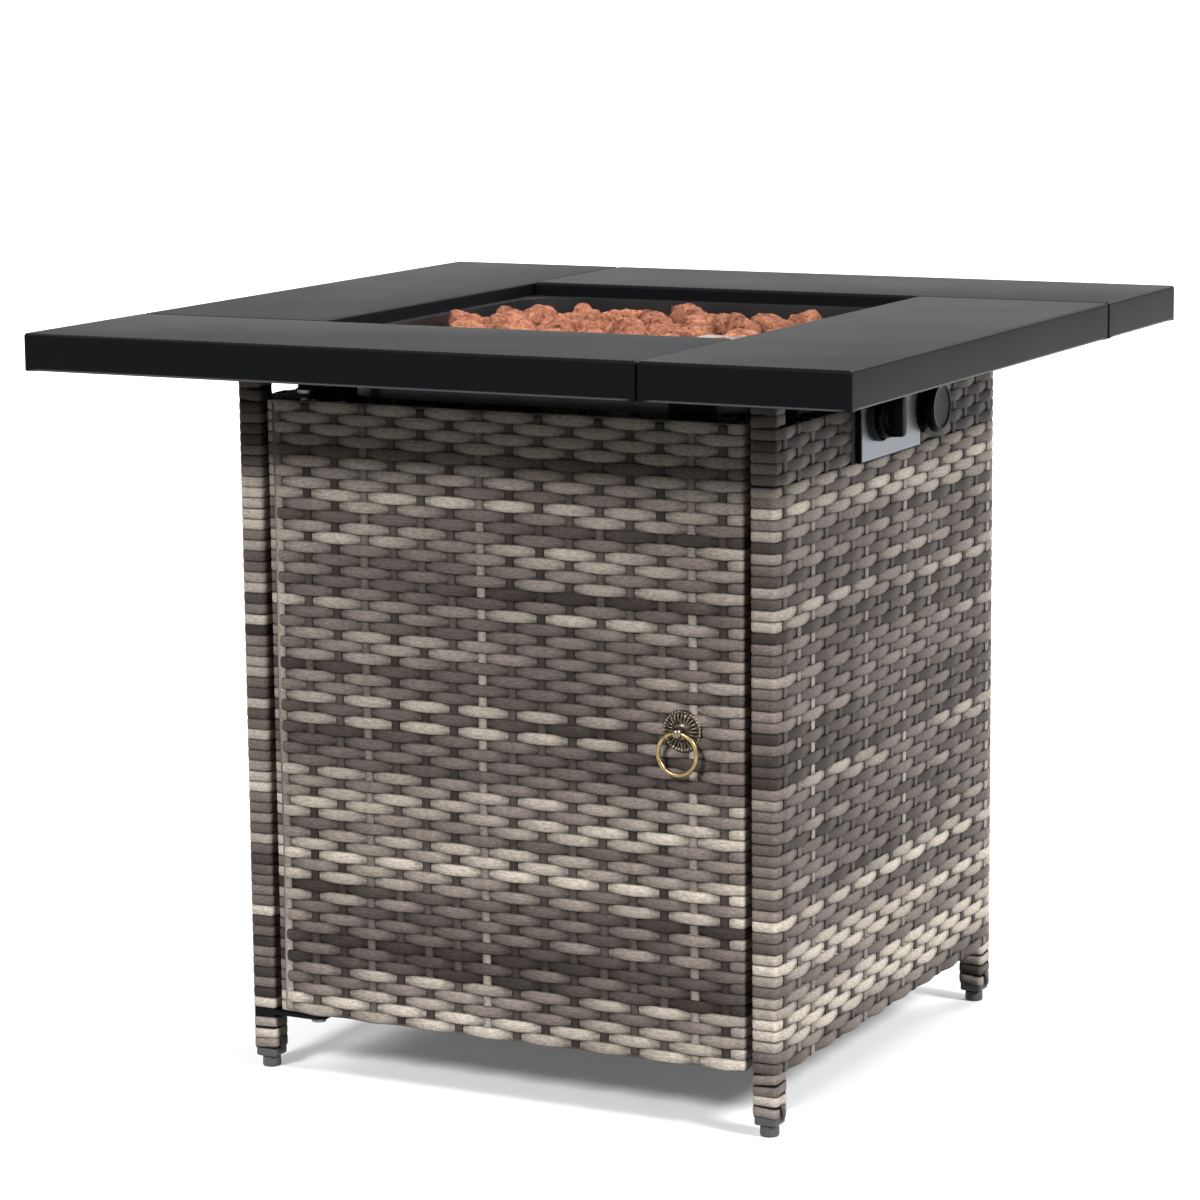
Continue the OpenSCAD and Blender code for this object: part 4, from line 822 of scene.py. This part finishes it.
def wedge_mark(y0, y1, z0, z1):
    """A thin plate whose height grows along y: z from z0 to z0 + MARK + (z1 - z0 - MARK) * t."""
    t = np.linspace(0, 1, 8)
    y = y0 + (y1 - y0) * t
    low, high = z0 + 0 * t, z0 + MARK + (z1 - z0 - MARK) * t
    x = box_mm("label_plate")[1][0]
    section = ((x, low), (x + MARK_THICK, low), (x + MARK_THICK, high), (x, high))
    points = np.stack([np.stack([0 * t + at, y, z], -1) for at, z in section], 1)
    return points.reshape(-1, 3), tube(len(t), len(section))


wedge = piece("heat_wedge", *wedge_mark(ky + 26, ky + 52, kz - 13, kz + 3), "base", "heat_mark")

# %% [markdown]
# ## Ring pull
# The rosette is a small casting: a beaded rim, two dozen flutes and a low dome. Its height over the
# door is a function of radius and angle, so one polar grid holds it, with a short edge and a floor.
# Wear follows the height: the beads and ridges are rubbed bright. The ring is a plain torus.

# %% Rosette and ring
PULL_Z, AROUND, BEADS, FLUTES, DRAWN = 319.0, 288, 36, 24, 36.6
DOOR_FACE = SKIN_EDGE - frame_lo[1]
ros_lo, ros_hi = box_mm("pull_rosette")
ring_lo, ring_hi = box_mm("pull_ring")
middle = (ring_lo + ring_hi) / 2
rx, rz = middle[0], PULL_Z


def rosette_face():
    """Height h(r, a): beads |cos(BEADS a / 2)| on a rim, flutes cos(FLUTES a) on a slope, a dome."""
    a = 2 * np.pi * np.arange(AROUND) / AROUND
    # radius for a rosette DRAWN wide, height, and the shares of bead and flute, from rim to middle
    r, h, bead, flute = np.array([
        [18.3, 18.3, 18.1, 17.6, 16.9, 16.1, 15.5, 15.0, 14.2, 12.6, 10.8, 9.0, 8.2, 7.4, 6.0, 4.4],
        [0.1, 1.7, 2.1, 2.7, 3.0, 2.7, 2.1, 2.0, 2.3, 2.8, 3.2, 3.6, 3.5, 4.2, 5.2, 5.5],
        [0, 0, 0.3, 0.8, 1.0, 0.8, 0.3, 0, 0, 0, 0, 0, 0, 0, 0, 0],
        [0, 0, 0, 0, 0, 0, 0, 0.1, 0.45, 0.55, 0.5, 0.35, 0, 0, 0, 0],
    ])[..., None]
    r = r * (ros_hi[0] - ros_lo[0]) / DRAWN
    row, ridge = np.abs(np.cos(BEADS / 2 * a)), flute * np.cos(FLUTES * a)
    high = h - 0.9 * bead * (1 - row) + ridge
    points = np.stack([rx + r * np.cos(a), -DOOR_FACE - high, rz + r * np.sin(a)], -1)
    return points, tube(len(r), AROUND), 0.5 * bead * row + 0.5 * ridge + 0.08 * (h > 4)


points, faces, wear = rosette_face()
piece("rosette_face", points, faces, "door", "dark_bronze", wear=wear)
BALL = 4.7
ball = np.radians(np.linspace(176, 4, 15))
points, faces = lathe(BALL * np.stack([np.cos(ball), np.sin(ball)], -1), (rx, middle[1], rz), "y", 32)
piece("eye_ball", points, faces, "door", "dark_bronze", wear=np.full(len(points), 0.55))

RING_R, WIRE = (ring_hi[0] - ring_lo[0]) / 2, 3.5
a, b = np.meshgrid(2 * np.pi * np.arange(72) / 72, 2 * np.pi * np.arange(16) / 16, indexing="ij")
reach = RING_R - WIRE / 2 + WIRE / 2 * np.cos(b)
points = middle + np.stack([reach * np.cos(a), WIRE / 2 * np.sin(b), reach * np.sin(a)], -1)
faces = [quads(72, 16, True, True)]
piece("ring_shape", points, faces, "ring", "antique_brass", ["pull_ring"], wear=0.25 + 0 * a)

# %% [markdown]
# ## Lava rocks
# Each CAD rock is a rough lump; its centre and size are read from the frame. A broken stone is a few
# flat faces with worn edges: take random planes round a centre, and let the radius in each direction
# be a soft minimum of the distances to them. Fine waves then roughen the skin, and the upper stones
# are moved a little, as stones that were poured in would lie. Smaller chips lie between them.


# %% Lava rocks
def loose_parts(node):
    """Centres and half sizes of a mesh's loose parts: low corner labels spread along faces, 30 times."""
    mesh = frame["nodes"][node].data
    co = np.empty(len(mesh.vertices) * 3, np.float32)
    mesh.vertices.foreach_get("co", co)
    co = co.reshape(-1, 3) / MM
    _, same = np.unique(np.round(co, 2), axis=0, return_inverse=True)
    corner = np.empty(len(mesh.loops), np.int32)
    mesh.loops.foreach_get("vertex_index", corner)
    tri = same.ravel()[corner].reshape(-1, 3)
    label = np.arange(tri.max() + 1)
    for _ in range(30):
        np.minimum.at(label, tri.ravel(), np.repeat(label[tri].min(1), 3))
    groups = [co[label[same.ravel()] == k] for k in np.unique(label)]
    low, high = (np.array([end(g, axis=0) for g in groups]) for end in (np.min, np.max))
    return (high + low) / 2, (high - low) / 2


MOVED, CHIP_MOVED, CHIP_UP, CHIP_SIZE = [6, 6, 3], [17, 17, 3], [0, 0, 3], 0.62


def rock_pile(centres, halves, seed, around=22):
    """Rocks: centre + size * direction * r, r = (sum over planes of max(direction . n / h, 0)^10)^-0.1."""
    rng = np.random.default_rng(seed)
    lat = np.radians(np.concatenate([[4], np.linspace(13, 167, 15), [176]]))[:, None]
    lon = 2 * np.pi * np.arange(around) / around
    ball = np.stack([np.sin(lat) * np.cos(lon), np.sin(lat) * np.sin(lon), np.cos(lat) + 0 * lon], -1)
    ball = ball.reshape(-1, 3)
    n, m = len(centres), len(ball)
    turn = np.linalg.qr(rng.normal(size=(n, 3, 3)))[0]
    way = ball @ turn
    planes = rng.normal(size=(n, 8, 3))
    planes /= np.linalg.norm(planes, axis=2)[..., None]
    planes = np.concatenate([planes, turn, -turn], 1)
    near = rng.uniform(0.6, 1.04, (n, 1, planes.shape[1]))
    facing = np.maximum(way @ planes.transpose(0, 2, 1) / near, 0)
    reach = np.clip((facing**10).sum(-1) ** -0.1, 0.5, 1.16)
    for size, count, height in ((5.0, 6, 0.026), (11.0, 9, 0.014)):
        k = rng.normal(size=(n, count, 3)) * size
        reach += height * np.sin(way @ k.transpose(0, 2, 1) + rng.uniform(0, 6.28, (n, 1, count))).sum(-1)
    upper = (centres[:, 2] > centres[:, 2].mean())[:, None]
    size = halves * rng.uniform(0.92, 1.3, (n, 1)) * rng.uniform(0.9, 1.1, (n, 3))
    moved = centres + upper * rng.uniform(-1, 1, (n, 3)) * MOVED
    points = moved[:, None] + way * size[:, None] * reach[..., None]
    faces = copies(tube(len(lat), around), n, m)
    return points.reshape(-1, 3), faces, np.repeat(rng.uniform(0, 1, n), m)


centres, halves = loose_parts("lava_rocks")
upper = centres[:, 2] > centres[:, 2].mean()
shift = np.random.default_rng(9).uniform(-1, 1, (np.sum(upper), 3)) * CHIP_MOVED + CHIP_UP
chips = np.clip(centres[upper] + shift, centres.min(0), centres.max(0) + 4)
points, faces, tone = gather(rock_pile(centres, halves, 4), rock_pile(chips, CHIP_SIZE * halves[upper], 6))
piece("lava_rock_pile", points, faces, "base", "lava", ["lava_rocks"], sharp=75, tone=tone)
print("rocks:", len(centres))

# %% [markdown]
# ## Floor, light and camera
# The floor is white and keeps the shadow. Four wide, soft suns, one for each side, stand high enough
# for the top to shade the cabinet below it, and a dim, even world fills in, so a colour renders
# about as it is written. World and floor are white to the camera and to mirrors; the floor's glow
# is dimmed where things stand close over it, a painted shadow that keeps the inside of the cabinet
# dark. The camera stands where the photograph was taken from, to the right of the door and a little
# above the top, with a long lens.


# %% Floor and light
def to_eye(tree):
    """1 for rays that come from the camera or off a mirror, 0 for the rays that light things."""
    camera, mirror = (add(tree, "LightPath", out=f"Is {kind} Ray") for kind in ("Camera", "Glossy"))
    return add(tree, "Math", {0: camera, 1: mirror}, operation="MAXIMUM")


def aimed(azimuth, elevation):
    """Right, up and back of a view from an azimuth (0 faces the door) and an elevation, in degrees."""
    a, e = np.radians([azimuth, elevation])
    back = np.array([np.sin(a) * np.cos(e), -np.cos(a) * np.cos(e), np.sin(e)])
    right = np.array([np.cos(a), np.sin(a), 0.0])
    return right, np.cross(back, right), back


WHITE = (1.0, 1.0, 1.0, 1.0)
scene = bpy.context.scene
scene.view_settings.view_transform = "Standard"
floor_mesh = bpy.data.meshes.new("floor")
floor_mesh.from_pydata([(-30, -30, 0), (30, -30, 0), (30, 30, 0), (-30, 30, 0)], [], [(0, 1, 2, 3)])
floor = bpy.data.objects.new("floor", floor_mesh)
scene.collection.objects.link(floor)
paper = bpy.data.materials.new("white_paper")
paper.use_nodes = True
tree = paper.node_tree
shown = to_eye(tree)
paint = add(tree, "Mix", {0: shown, 6: srgb("#555555"), 7: srgb("#e2e2e2")}, **COLOUR)
# the floor's glow follows ambient occlusion, so it is dimmed under things: a painted shadow
near_things = add(tree, "AmbientOcclusion", {"Distance": 0.7}, "AO", samples=8)
open_sky = add(tree, "MapRange", {0: near_things, 3: 0.10, 4: 0.34})
glow = add(tree, "Math", {0: shown, 1: open_sky}, operation="MULTIPLY")
feed(tree, tree.nodes["Principled BSDF"], {
    "Roughness": 0.9, "Specular IOR Level": 0.0, "Base Color": paint,
    "Emission Color": WHITE, "Emission Strength": glow,
})
floor_mesh.materials.append(paper)

world = bpy.data.worlds.new("studio")
world.use_nodes = True
scene.world = world
tree = world.node_tree
level = add(tree, "MapRange", {0: to_eye(tree), 3: 0.05, 4: 1.0})
feed(tree, tree.nodes["Background"], {"Color": WHITE, "Strength": level})

# each sun: azimuth, elevation, strength and how wide it is, in degrees
for name, azimuth, elevation, strength, angle in (
    ("door_light", -8, 37, 3.1, 14), ("control_light", 80, 38, 4.0, 14),
    ("back_light", 165, 38, 1.5, 24), ("left_light", 262, 38, 1.5, 24),
):
    lamp = bpy.data.lights.new(name, "SUN")
    lamp.energy, lamp.angle = strength, np.radians(angle)
    made = bpy.data.objects.new(name, lamp)
    made.matrix_world = Matrix(np.column_stack(aimed(azimuth, elevation))).to_4x4()
    scene.collection.objects.link(made)

# %% Camera
FOCAL_PX, PHOTO_PX, SENSOR = 3915.768, 1200, 36.0
STAND = np.array([1449.374, -2898.081, 933.536])
right, up, back = aimed(26.995, 9.787)
roll = np.radians(-0.568)
right, up = np.cos(roll) * right + np.sin(roll) * up, np.cos(roll) * up - np.sin(roll) * right
lens = bpy.data.cameras.new("camera")
lens.sensor_width, lens.lens = SENSOR, FOCAL_PX / PHOTO_PX * SENSOR
camera = bpy.data.objects.new("camera", lens)
place = Matrix(np.column_stack([right, up, back])).to_4x4()
place.translation = STAND * MM
camera.matrix_world = place
scene.collection.objects.link(camera)
scene.camera = camera
